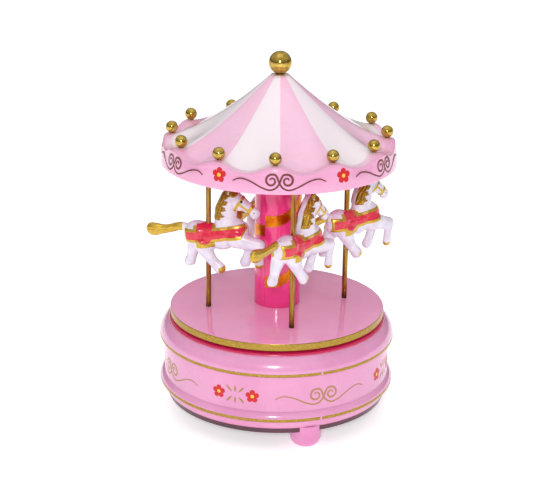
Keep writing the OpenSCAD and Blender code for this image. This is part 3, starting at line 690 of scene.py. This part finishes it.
def canopy_material():
    light, dark = rgb(250, 202, 226), rgb(247, 186, 217)
    paint, colour, rough, normal = moulded("canopy_paint", light, dark, rough=0.17, glow=0.05)
    spot = paint.place()
    x, y, z = (paint.axis(spot, name) for name in "XYZ")
    angle = x.maths("ARCTAN2", y * -1) * (180 / math.pi)
    radius = (x * x + y * y).maths("SQRT")
    lean = (1 - radius / ball_ring) * PANEL_SPREAD
    panel = ((angle * (1 - lean) - (BALL_TURN + PANEL_TURN) + 390) / 60).maths("FRACT")
    wobble = paint.noise(spot, 0.25, 3.0) * 0.006
    edge = 0.0022
    wavy = panel + wobble
    white = wavy.between(-edge, edge) * (1 - wavy.between(0.503 - edge, 0.503 + edge))
    ridge = (((angle - BALL_TURN) * (12 * math.pi / 180)).cosine() * 0.5 + 0.5).power(RIDGE)
    rim = seat_z - SAG * (1 - ridge) + 0.1
    roof = (z + wobble * 30).between(rim - 0.35, rim + 0.35)
    inside = 1 - (radius / canopy_r).between(0.975, 0.985)
    # Painted reflection: faint pale streaks across the roof's panels; the same streaks also roughen the
    # gloss.
    painted_reflection_streaks = paint.noise(paint.stretch(spot, 0.6, 0.6, 0.25), 0.5, 6.0, 0.7).between(0.55, 0.78)
    tint = paint.mix(white, colour, paint.mix(painted_reflection_streaks * 0.3, rgb(248, 234, 240), rgb(246, 224, 234)))
    tint = paint.mix(painted_reflection_streaks * 0.25, tint, rgb(255, 246, 250))
    lower = paint.mix(paint.noise(spot, 0.05, 2.0), rgb(238, 172, 206), rgb(232, 160, 198))
    return paint.give(
        Base_Color=paint.mix(roof * inside, lower, tint), Roughness=rough + painted_reflection_streaks * 0.08,
        Normal=normal, Coat_Weight=0.5)


canopy_paint = canopy_material()
canopy_tent = place(
    "canopy_tent", tent_bm, "carousel", canopy_paint, "canopy_pink", ["canopy_roof"], 60)
print("canopy", len(canopy_tent.data.polygons), "faces")

# %% [markdown]
# Twelve plated balls stand on the ridges and a large one crowns the tent. Each is a sphere on a short
# collar, spun from a half circle so that its poles are closed.

# %% Plated balls


def ball(name, node, centre, radius, collar_r, collar_low):
    """A plated ball on a collar."""
    half = arc(0, 0, radius, 90, -72, 40)
    profile = [(max(r, 0), z) for r, z in half]
    profile[0] = (0, radius)
    foot = collar_low - centre.z
    profile += [(collar_r, -radius * 0.97), (collar_r, foot), (0, foot)]
    bm = spun(profile, 64)
    bmesh.ops.translate(bm, verts=bm.verts, vec=centre)
    return place(name, bm, "carousel", plated_gold, "gold_plate", [node], 50)


for number in range(12):
    node = f"rim_ball_{number + 1:02d}"
    spot = bearing(BALL_TURN + 30 * number, ball_ring)
    spot.z = ball_centre.z
    ball(f"rim_ball_plated_{number + 1:02d}", node, spot, ball_r, 1.1, seat_z - 1.5)
finial_low, finial_high = box_mm("finial_ball")
finial_r = (finial_high.x - finial_low.x) / 2
finial_at = Vector((0, 0, finial_high.z - finial_r))
ball("finial_plated", "finial_ball", finial_at, finial_r, 2.2, roof_top_z - 2.6)
print("ball radius", round(ball_r, 2), "top ball", round(finial_r, 2))

# %% [markdown]
# The prints are thin layers of ink on curved walls. Each is drawn flat, as an outline or as a line with
# a width, laid on the wall by bearing and height, and given a hair of thickness.

# %% Laying flat artwork on a wall
INK = 0.05


def wrap(u, v, angle, z, wall):
    """A point of flat artwork, u along the wall and v up, on a wall of revolution."""
    height = z + v
    radius = wall(height) + INK
    spot = bearing(angle + math.degrees(u / radius), radius)
    spot.z = height
    return spot


def outward(bm):
    """Turns a sheet's faces away from the axis."""
    total = sum(f.normal.dot(Vector((f.calc_center_median().x, f.calc_center_median().y, 0)))
                for f in bm.faces)
    if total < 0:
        bmesh.ops.reverse_faces(bm, faces=bm.faces)


def stroke(bm, path, widths, angle, z, wall):
    """Adds a line of ink along a flat path."""
    path = np.array(path, float)
    along = np.gradient(path, axis=0)
    along /= np.linalg.norm(along, axis=1)[:, None]
    side = np.stack([-along[:, 1], along[:, 0]], 1)
    rows = []
    for share in (-0.5, 0.0, 0.5):
        edge = path + side * (share * np.array(widths))[:, None]
        rows.append([bm.verts.new(wrap(u, v, angle, z, wall)) for u, v in edge])
    for low, high in zip(rows, rows[1:]):
        for i in range(len(path) - 1):
            bm.faces.new((low[i], low[i + 1], high[i + 1], high[i]))


def smooth_path(points, per_span=10):
    """A curve through points, by Catmull and Rom's rule."""
    p = np.array([points[0], *points, points[-1]], float)
    out = []
    for a, b, c, d in zip(p, p[1:], p[2:], p[3:]):
        for t in np.linspace(0, 1, per_span, endpoint=False):
            out.append(0.5 * (2 * b + (c - a) * t + (2 * a - 5 * b + 4 * c - d) * t ** 2
                              + (3 * b - a - 3 * c + d) * t ** 3))
    out.append(p[-1])
    return np.array(out)


def curl_path(size, mirror):
    """A curl on one side that crosses the middle and runs out as a tail on the other."""
    turns = np.radians(np.linspace(-160, 350, 46))
    radii = np.linspace(0.75, 3.0, 46)
    curl = [(-3.3 + r * math.cos(-a), 0.3 + r * math.sin(-a)) for a, r in zip(turns, radii)]
    tail = [(0.2, -1.1), (1.8, -2.9), (4.3, -3.6), (7.8, -2.5), (12.6, -0.2), (16.8, 0.6), (20, -0.7)]
    line = smooth_path(curl[::3][:-1] + tail, 6)
    return line * np.array([-size if mirror else size, size])


def scroll(name, body, angle, z, wall, size, width, material, slot):
    """A pair of mirrored curls with long tails."""
    bm = bmesh.new()
    for mirror in (False, True):
        line = curl_path(size, mirror)
        swell = np.sin(np.linspace(0.25, math.pi - 0.1, len(line)))
        stroke(bm, line, width * (0.45 + 0.55 * swell), angle, z, wall)
    bmesh.ops.recalc_face_normals(bm, faces=bm.faces)
    outward(bm)
    bmesh.ops.solidify(bm, geom=bm.faces[:], thickness=2.4 * INK)
    return place(name, bm, body, material, slot)


def disc_of_ink(name, body, angle, z, wall, outline, material, slot, lift=0.0):
    """A flat shape given by its radius at each angle."""
    bm = spun([(0.001, 0), (0.35, 0), (0.7, 0), (1, 0)], 60, False)
    for v in bm.verts:
        turn = math.atan2(v.co.y, v.co.x)
        reach = math.hypot(v.co.x, v.co.y) * outline(turn)
        v.co = wrap(reach * math.cos(turn), reach * math.sin(turn), angle, z, lambda h: wall(h) + lift)
    bmesh.ops.recalc_face_normals(bm, faces=bm.faces)
    outward(bm)
    bmesh.ops.solidify(bm, geom=bm.faces[:], thickness=2.4 * INK)
    return place(name, bm, body, material, slot)


def flower(name, body, angle, z, wall, size, slot):
    """Five round petals and a yellow eye."""
    def petals(turn):
        lobe = abs(math.cos(2.5 * (turn - math.pi / 2))) ** 0.55
        return size * (0.60 + 0.40 * lobe)
    disc_of_ink(name, body, angle, z, wall, petals, flower_red, slot)
    disc_of_ink(name + "_eye", body, angle, z, wall, lambda t: size * 0.26, flower_yellow, slot, 0.04)


print("ink stands", INK, "mm off its wall")

# %% Prints on the canopy band
PRINT_Z = canopy_z + 6.4
for number in range(6):
    turn = 60 * number
    scroll(f"canopy_scroll_{number + 1}", "carousel", 0.4 + turn, PRINT_Z - 0.6, band_r, 1.02, 0.95,
           scroll_brown, "canopy_pink")
    flower(f"canopy_flower_{number + 1}", "carousel", 31.4 + turn, PRINT_Z + 0.2, band_r, 3.3,
           "canopy_pink")
print("band prints at", round(PRINT_Z, 1))

# %% [markdown]
# The base's print repeats four times: a pair of flowers with six small leaves between them, then a
# scroll in gold ink.

# %% Prints on the base
BASE_PRINT_Z = wall_z + 15.7


def waist(z):
    return waist_r


def leaves(name, angle):
    """Six short leaf strokes, three above and three below."""
    bm = bmesh.new()
    for sign in (1, -1):
        for lean in (-1, 0, 1):
            inner = np.array([lean * 1.6, sign * 1.1])
            outer = np.array([lean * 4.3, sign * (4.2 - 0.3 * abs(lean))])
            path = [inner + (outer - inner) * t for t in np.linspace(0, 1, 9)]
            widths = 1.05 * np.sin(np.linspace(0.15, math.pi - 0.15, 9))
            stroke(bm, path, widths, angle, BASE_PRINT_Z, waist)
    bmesh.ops.recalc_face_normals(bm, faces=bm.faces)
    outward(bm)
    bmesh.ops.solidify(bm, geom=bm.faces[:], thickness=2.4 * INK)
    return place(name, bm, "base", scroll_gold, "pink_shell")


for number in range(4):
    turn = 90 * number
    scroll(f"base_scroll_{number + 1}", "base", 24 + turn, BASE_PRINT_Z - 0.2, waist, 1.12, 0.92,
           scroll_gold, "pink_shell")
    leaves(f"base_leaves_{number + 1}", -20 + turn)
    for side, label in ((-1, "a"), (1, "b")):
        flower(f"base_flower_{number + 1}{label}", "base", -20 + turn + side * 8.7, BASE_PRINT_Z, waist,
               3.15, "pink_shell")
print("prints laid")

# %% [markdown]
# The four poles are drawn tubes that turn in the platform's holes. Each keeps its packed place; a spun
# tube with chamfered ends stands for it.

# %% Poles
for number in range(4):
    low, high = box_mm(f"pole_{number + 1}")
    pole_r = (high.x - low.x) / 2
    middle = (low + high) / 2
    bm = spun([(0, low.z), (pole_r - 0.2, low.z), (pole_r, low.z + 0.2), (pole_r, high.z - 0.2),
               (pole_r - 0.2, high.z), (0, high.z)], 48)
    bmesh.ops.translate(bm, verts=bm.verts, vec=(middle.x, middle.y, 0))
    place(f"pole_tube_{number + 1}", bm, f"horse_unit_{number + 1}", pole_brass, "pole_brass",
          [f"pole_{number + 1}"], 30)
print("pole radius", round(pole_r, 2))

# %% [markdown]
# A horse is one small moulding, painted by hand. It is roughed out from balls and tapering limbs, which
# a voxel remesh melts into one skin, and the skin is then smoothed. The relief of saddle, girth, mane
# and tail is raised by moving points along their normals, and the same shapes guide the paint.

# %% Rough horse from balls and limbs
VOXEL = 0.32


def blob(bm, centre, radii, pitch=0.0):
    """Adds an ellipsoid, tipped nose-down by pitch degrees."""
    shape = (
        Matrix.Translation(centre) @ Matrix.Rotation(math.radians(pitch), 4, "Y")
        @ Matrix.Diagonal((*radii, 1.0)))
    one = bmesh.new()
    bmesh.ops.create_uvsphere(one, u_segments=24, v_segments=16, radius=1.0, matrix=shape)
    mesh = bpy.data.meshes.new("blob")
    one.to_mesh(mesh)
    one.free()
    bm.from_mesh(mesh)
    bpy.data.meshes.remove(mesh)


def chain(bm, stations, flat=0.8, per_span=7):
    """A limb through stations, each (forward, side, up, radius); flat is its sideways share."""
    line = smooth_path(stations, per_span)
    for x, y, z, r in line:
        blob(bm, (x, y, z), (r, r * flat, r))


def rough_horse():
    bm = bmesh.new()
    blob(bm, (-5.0, 0, 36.4), (6.6, 4.7, 6.5))
    blob(bm, (0.2, 0, 35.0), (7.2, 4.5, 6.3))
    blob(bm, (6.4, 0, 35.3), (7.4, 4.5, 6.6))
    blob(bm, (12.6, 0, 37.2), (6.8, 4.5, 6.7), -12)
    chain(bm, [(8.6, 0, 40.2, 5.4), (9.4, 0, 45.6, 5.0), (10.6, 0, 50.4, 4.4), (12.8, 0, 53.8, 3.8)], 0.72)
    chain(bm, [(5.4, 0, 44.6, 1.5), (6.3, 0, 48.4, 1.9), (8.3, 0, 52.4, 1.9), (10.6, 0, 56, 1.7),
               (13.4, 0, 57.4, 1.2)], 0.9)
    chain(
        bm, [(13.6, 0, 53.6, 3.6), (17.2, 0, 50.9, 3.0), (20.6, 0, 48.0, 2.4), (23.4, 0, 45.9, 2.15)], 0.78)
    blob(bm, (16.0, 0, 50.4), (3.4, 2.6, 3.2), 35)
    blob(bm, (22.6, 0, 44.9), (2.2, 1.8, 1.7), 35)
    for side in (-1, 1):
        chain(bm, [(12.2, side * 1.5, 56.6, 1.0), (12.2, side * 1.8, 58.4, 0.9),
                   (12.8, side * 1.9, 60.3, 0.35)], 0.7, 5)
    chain(bm, [(-10.2, 0, 40.0, 1.7), (-13, 0, 40.2, 2.1), (-17, 0, 39.4, 2.0), (-21, 0, 38.8, 2.2),
               (-25, 0, 38.8, 3.0), (-26.6, 0, 39.0, 3.1)], 0.62)
    chain(bm, [(-6.2, 2.2, 33.8, 4.4), (-8.6, 2.5, 28.8, 3.1), (-9.8, 2.6, 25, 2.45),
               (-11.1, 2.6, 22.2, 2.75)], 0.8)
    chain(bm, [(-2.6, -2.2, 32.2, 4.3), (-0.4, -2.5, 27.6, 3.1), (1.9, -2.6, 23.8, 2.5),
               (4.7, -2.6, 20.5, 2.8)], 0.8)
    chain(bm, [(13.4, -2.1, 34.6, 4.6), (19.4, -2.5, 32.7, 3.5), (24.2, -2.6, 31.6, 2.8)], 0.8)
    chain(bm, [(24.6, -2.6, 31.4, 2.5), (23.9, -2.6, 27, 2.0), (23.5, -2.6, 22.4, 2.25)], 0.8)
    chain(bm, [(13.2, 2.1, 33.4, 3.9), (17.8, 2.5, 29.2, 2.7), (17.1, 2.6, 25, 2.3),
               (15.5, 2.6, 21.6, 2.6)], 0.8)
    return bm


def melted(bm):
    """One closed skin round overlapping solids."""
    mesh = bpy.data.meshes.new("rough")
    bm.to_mesh(mesh)
    bm.free()
    rough = bpy.data.objects.new("rough", mesh)
    bpy.context.scene.collection.objects.link(rough)
    remesh = rough.modifiers.new("melt", "REMESH")
    remesh.mode = "VOXEL"
    remesh.voxel_size = VOXEL
    soften = rough.modifiers.new("soften", "SMOOTH")
    soften.factor = 0.5
    soften.iterations = 8
    bpy.context.view_layer.update()
    solved = rough.evaluated_get(bpy.context.evaluated_depsgraph_get())
    result = bpy.data.meshes.new_from_object(solved)
    bpy.data.objects.remove(rough)
    return result


horse_skin = melted(rough_horse())
print("horse skin", len(horse_skin.vertices), "points")

# %% [markdown]
# The painted shapes are written once, as distances in millimetres: positive inside a shape, negative
# outside. The distance raises the relief, and it is kept on the mesh, where the paint reads it.

# %% Shapes on the horse


def inside_box(a, b, low_a, high_a, low_b, high_b):
    """Distance inside a rectangle in two coordinates."""
    return np.minimum(np.minimum(a - low_a, high_a - a), np.minimum(b - low_b, high_b - b))


def horse_shapes(x, y, z):
    """Distances inside the red, gold, mane and hoof shapes, from forward, side and up."""
    side = np.abs(y)
    girth_z = 36.5 + 0.11 * np.maximum(x - 1, 0)
    around = np.abs(z - girth_z)
    trunk = np.minimum(x + 10.6, side - 0.9)
    girth_red = np.minimum(1.85 - around, trunk - 0.9)
    girth_gold = np.minimum(3.2 - around, trunk)
    chest = 17.4 - x + 0.6 * (z - 38)
    drop = np.clip((36.6 - z) / 3.7, 0, 1)
    flap = 3.55 * np.sqrt(1 - drop ** 2) - np.abs(x + 0.8)
    saddle = np.minimum(np.minimum(flap, z - 32.9), 41.9 - z)
    saddle_trim = np.maximum(
        inside_box(x, z, -5.8, 4.6, 38.0, 41.3), inside_box(x, z, -4.7, 3.8, 31.0, 34.6))
    girth_red = np.minimum(girth_red, chest)
    girth_gold = np.minimum(girth_gold, chest + 0.9)
    red = np.maximum(girth_red, saddle)
    gold = np.maximum(girth_gold, saddle_trim)
    teeth = 0.9 * np.sin(z * 2.1) + 0.5 * np.sin(z * 4.7 + 1.3)
    mane_front = 8.6 + 0.36 * (z - 46) + teeth
    mane = np.minimum(np.minimum(mane_front - x, z - 43.8), 9 - np.abs(z - 52.5))
    forelock = 1.5 - np.hypot(x - 14.2, z - 56.3) + 0.6
    tail = np.minimum(-11.9 - x, z - 33)
    reach = (x - 13.8) * 0.78 + (53.4 - z) * 0.63
    across = (x - 13.8) * 0.63 - (53.4 - z) * 0.78
    head = np.minimum(x - 12.5, z - 41.5)
    strap = 0.62
    nose_band = strap + 0.1 - np.abs(reach - 9.3)
    cheek = np.minimum(strap - np.abs(reach - 3.4), 6 - np.abs(across))
    side_line = np.minimum(strap - 0.1 - np.abs(across + 0.4), np.minimum(reach - 3.4, 9.3 - reach))
    head = np.minimum(head, np.minimum(reach - 2.4, 4.6 - np.abs(across)))
    halter = np.minimum(np.maximum(np.maximum(nose_band, cheek), side_line), head)
    hooves = np.maximum(
        inside_box(x, z, 19, 28, 10, 22.3), inside_box(x, z, 4.6, 7.4, 10, 20.6 + 0.4 * (x - 4)))
    gold = np.maximum(np.maximum(gold, tail), np.maximum(halter, hooves))
    hair = np.minimum(np.maximum(mane, forelock), side - 1.1)
    eye = 0.62 - np.hypot(reach - 3.9, (across - 1.35))
    eye = np.minimum(eye, side - 1.2)
    nostril = np.minimum(0.42 - np.hypot(reach - 11.6, across - 0.3), side - 0.6)
    return {"red": red, "gold": gold, "hair": hair, "eye": eye, "nostril": nostril,
            "saddle": saddle, "girth": girth_gold, "tail": tail, "halter": halter, "trim": saddle_trim}


def step(distance, softness=0.35):
    """0 outside a shape and 1 inside it, soft at its edge."""
    return np.clip(distance / softness + 0.5, 0, 1)


co = np.empty(len(horse_skin.vertices) * 3)
normals = np.empty(len(horse_skin.vertices) * 3)
horse_skin.vertices.foreach_get("co", co)
horse_skin.vertices.foreach_get("normal", normals)
co, normals = co.reshape(-1, 3), normals.reshape(-1, 3)
HOOVES = ((-11.1, 2.6, 20.7), (4.9, -2.6, 18.2), (23.4, -2.6, 20.3), (15.5, 2.6, 19.6))
for hoof_x, hoof_side, hoof_z in HOOVES:
    near = (np.abs(co[:, 0] - hoof_x) < 4.5) & (co[:, 1] * hoof_side > 0) & (co[:, 2] < hoof_z)
    co[near, 2] = hoof_z - 0.12 * (hoof_z - co[near, 2])
shapes = horse_shapes(*co.T)
hair_lines = np.sin(5.2 * (co[:, 0] * 0.85 - co[:, 2] * 0.5) + 1.4 * np.sin(co[:, 2] * 0.8))
tail_lines = np.sin(4.6 * co[:, 2] + 1.2 * np.sin(co[:, 0] * 0.5))
lift = 0.34 * step(shapes["saddle"], 0.8) + 0.2 * step(shapes["girth"], 0.5) * (co[:, 2] < 42.5)
lift += 0.16 * step(shapes["trim"], 0.5) + 0.26 * step(shapes["halter"], 0.5)
lift += step(shapes["hair"], 1.0) * (0.45 + 0.22 * hair_lines)
lift += step(shapes["tail"], 2.0) * 0.08 * tail_lines
lift -= 0.35 * step(shapes["nostril"], 0.6) + 0.12 * step(-np.abs(shapes["eye"]) + 0.15, 0.3)
rump = np.clip(1 - np.hypot(co[:, 0] + 7.5, co[:, 2] - 42) / 4.5, 0, 1)
lift += 0.22 * rump * np.maximum(np.sin(co[:, 0] * 4.2) * np.sin(co[:, 1] * 4.2 + 0.8), 0)
crescent = step(0.3 - np.abs(np.hypot((co[:, 0] + 0.1) / 0.85, co[:, 2] - 36.2) - 3.3), 0.4)
lift += 0.18 * crescent * (co[:, 0] < 0.8) * (co[:, 2] < 36.5) * step(shapes["saddle"], 0.4)
co += normals * lift[:, None]
horse_skin.vertices.foreach_set("co", co.ravel())
for name in ("red", "gold", "hair", "eye", "nostril"):
    layer = horse_skin.attributes.new(name, "FLOAT", "POINT")
    layer.data.foreach_set("value", step(shapes[name], 1.6).astype(np.float32))
horse_skin.update()
print("horse points", len(co), "red share", round(float((shapes["red"] > 0).mean()), 3))

# %% [markdown]
# One material paints the whole horse. White plastic shows on the body, red enamel on the saddle and the
# girth, and gold paint on trims, mane, tail and hooves. Enamel edges are crisp, so each distance is
# read with a narrow step.

# %% Horse paint


def horse_material():
    paint = Paint("horse_paint", Subsurface_Weight=0.06, Subsurface_Scale=0.002, Specular_IOR_Level=0.5)
    spot = paint.place()
    ragged = paint.noise(spot, 1.6, 3.0) * 0.1 - 0.05
    masks = {name: (paint.attribute(name) + ragged).between(0.46, 0.54)
             for name in ("red", "gold", "hair", "eye", "nostril")}
    cloud = paint.noise(spot, 0.25, 4.0, 0.6).between(0.3, 0.75)
    thin = paint.noise(spot, 1.3, 4.0, 0.65).between(0.35, 0.8)
    white = paint.mix(cloud, rgb(216, 210, 226), rgb(236, 232, 242))
    gold = paint.mix(thin, rgb(196, 158, 44), rgb(222, 192, 84))
    hair = paint.mix(thin, rgb(140, 98, 14), rgb(196, 156, 50))
    red = paint.mix(thin, rgb(214, 26, 58), rgb(228, 52, 84))
    metallic = masks["gold"].maths("MAXIMUM", masks["hair"])
    metallic = metallic * (1 - masks["red"])
    colour = paint.mix(masks["gold"], white, gold)
    colour = paint.mix(masks["hair"], colour, hair)
    colour = paint.mix(masks["red"], colour, red)
    colour = paint.mix(masks["eye"].maths("MAXIMUM", masks["nostril"] * 0.6), colour, rgb(40, 26, 30))
    edge = paint.attribute("gold").between(0.3, 0.5) * 0.5
    fine = paint.noise(spot, 3.0, 3.0)
    return paint.give(
        Base_Color=colour, Metallic=metallic * 0.8, Roughness=0.2 + metallic * 0.14 + fine * 0.08,
        Coat_Weight=0.25 + edge * 0.2, Normal=paint.bump(fine + thin * 0.6, 0.02))


horse_paint = horse_material()
print("horse paint nodes", len(horse_paint.node_tree.nodes))

# %% [markdown]
# The four horses are the same casting. Each is a copy of the skin, turned to its own heading about its
# pole and lifted to its own height.

# %% Four horses
HEADINGS = (52, 38, 65, -13)
LIFTS = (3.0, 2.6, 1.5, 0.0)
PITCHES = (0, 0, 0, -5.5)
HORSE_BACK = Vector((0, 0, 36))
for number, (heading, lifted, pitch) in enumerate(zip(HEADINGS, LIFTS, PITCHES)):
    low, high = box_mm(f"pole_{number + 1}")
    middle = (low + high) / 2
    bm = bmesh.new()
    bm.from_mesh(horse_skin)
    bmesh.ops.rotate(
        bm, verts=bm.verts, cent=HORSE_BACK, matrix=Matrix.Rotation(math.radians(pitch), 3, "Y"))
    bmesh.ops.rotate(
        bm, verts=bm.verts, cent=(0, 0, 0), matrix=Matrix.Rotation(math.radians(heading), 3, "Z"))
    bmesh.ops.translate(bm, verts=bm.verts, vec=(middle.x, middle.y, stage_z + lifted))
    place(f"painted_horse_{number + 1}", bm, f"horse_unit_{number + 1}", horse_paint, "horse_paint",
          [f"horse_{number + 1}"], 75)
print("horse headings", HEADINGS, "lifts", LIFTS, "pitches", PITCHES)

# %% [markdown]
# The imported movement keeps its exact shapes. Its pieces get the metals they are made of: turned brass,
# bright and blued steel, and a die-cast bed.

# %% Movement and underside
PAINTS = {
    turned_brass: ["winding_key", "ratchet_wheel", "spring_barrel", "barrel_lid", "pinned_cylinder",
                   "cylinder_gear", "cylinder_pinion", "governor_wheel", "fan", "governor_frame"],
    bright_steel: ["foot_screws", "movement_screws", "bridge_screws", "comb", "comb_screws",
                   "governor_screws", "winding_arbor", "drive_post", "platform_nut", "tie_rod",
                   "roof_nut", "cylinder_arbor", "governor_pinion", "worm_spindle"],
    blued_steel: ["click_spring", "mainspring"],
    cast_metal: ["bedplate", "barrel_bridge", "drum_bracket"],
    # Painted shade: the bottom cover gets the dark plum.
    painted_shade_plum: ["bottom_cover"],
    ceiling_pink: ["canopy_ceiling"],
}
for material, names in PAINTS.items():
    for name in names:
        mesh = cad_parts[name].data
        mesh.materials.clear()
        mesh.materials.append(material)
print("kept pieces painted", sum(len(names) for names in PAINTS.values()))

# %% [markdown]
# The studio is a white table under a large soft light from above and a smaller, harder one near the
# camera, which draws the canopy's shadow on the column and the small highlights on the gloss.

# %% Floor and lights


def make_floor():
    paint = Paint("floor_white", Roughness=0.6, Emission_Strength=0.5)
    grain = paint.noise(paint.place(), 0.02, 3.0)
    tint = paint.mix(grain, rgb(250, 249, 250), rgb(255, 254, 255))
    material = paint.give(Base_Color=tint, Emission_Color=tint)
    bm = bmesh.new()
    bmesh.ops.create_grid(bm, x_segments=8, y_segments=8, size=6.0)
    mesh = bpy.data.meshes.new("floor")
    bm.to_mesh(mesh)
    bm.free()
    mesh.materials.append(material)
    floor = bpy.data.objects.new("floor", mesh)
    bpy.context.scene.collection.objects.link(floor)


def make_light(name, place_at, aim, size, power, colour=(1, 1, 1)):
    """A square soft light at a place, aimed at a point."""
    data = bpy.data.lights.new(name, "AREA")
    data.size = size
    data.energy = power
    data.color = colour
    light = bpy.data.objects.new(name, data)
    bpy.context.scene.collection.objects.link(light)
    light.location = place_at
    light.rotation_mode = "QUATERNION"
    light.rotation_quaternion = (Vector(aim) - Vector(place_at)).to_track_quat("-Z", "Y")
    return light


def make_world():
    """White to look at, but dim near the horizon in reflections, so that round metal keeps its shape."""
    world = bpy.data.worlds.new("studio")
    bpy.context.scene.world = world
    world.use_nodes = True
    studio = Nodes(world.node_tree)
    height = studio.axis(studio.add("TexCoord", {}, {}, "Generated"), "Z")
    dome = height.between(0.02, 0.7) * DOME + HORIZON
    seen = studio.add("LightPath", {}, {}, "Is Camera Ray")
    background = world.node_tree.nodes["Background"]
    background.inputs["Color"].default_value = (1.0, 1.0, 1.0, 1.0)
    studio.feed(background.inputs["Strength"], dome * (1 - seen) + seen)


HORIZON = 0.18
DOME = 0.56
make_floor()
make_world()
make_light("key", (-0.04, -0.98, 0.53), (0, 0, 0.09), 0.12, 3.7)
make_light("overhead", (0.0, -0.1, 1.1), (0, 0, 0.05), 0.9, 1.0)
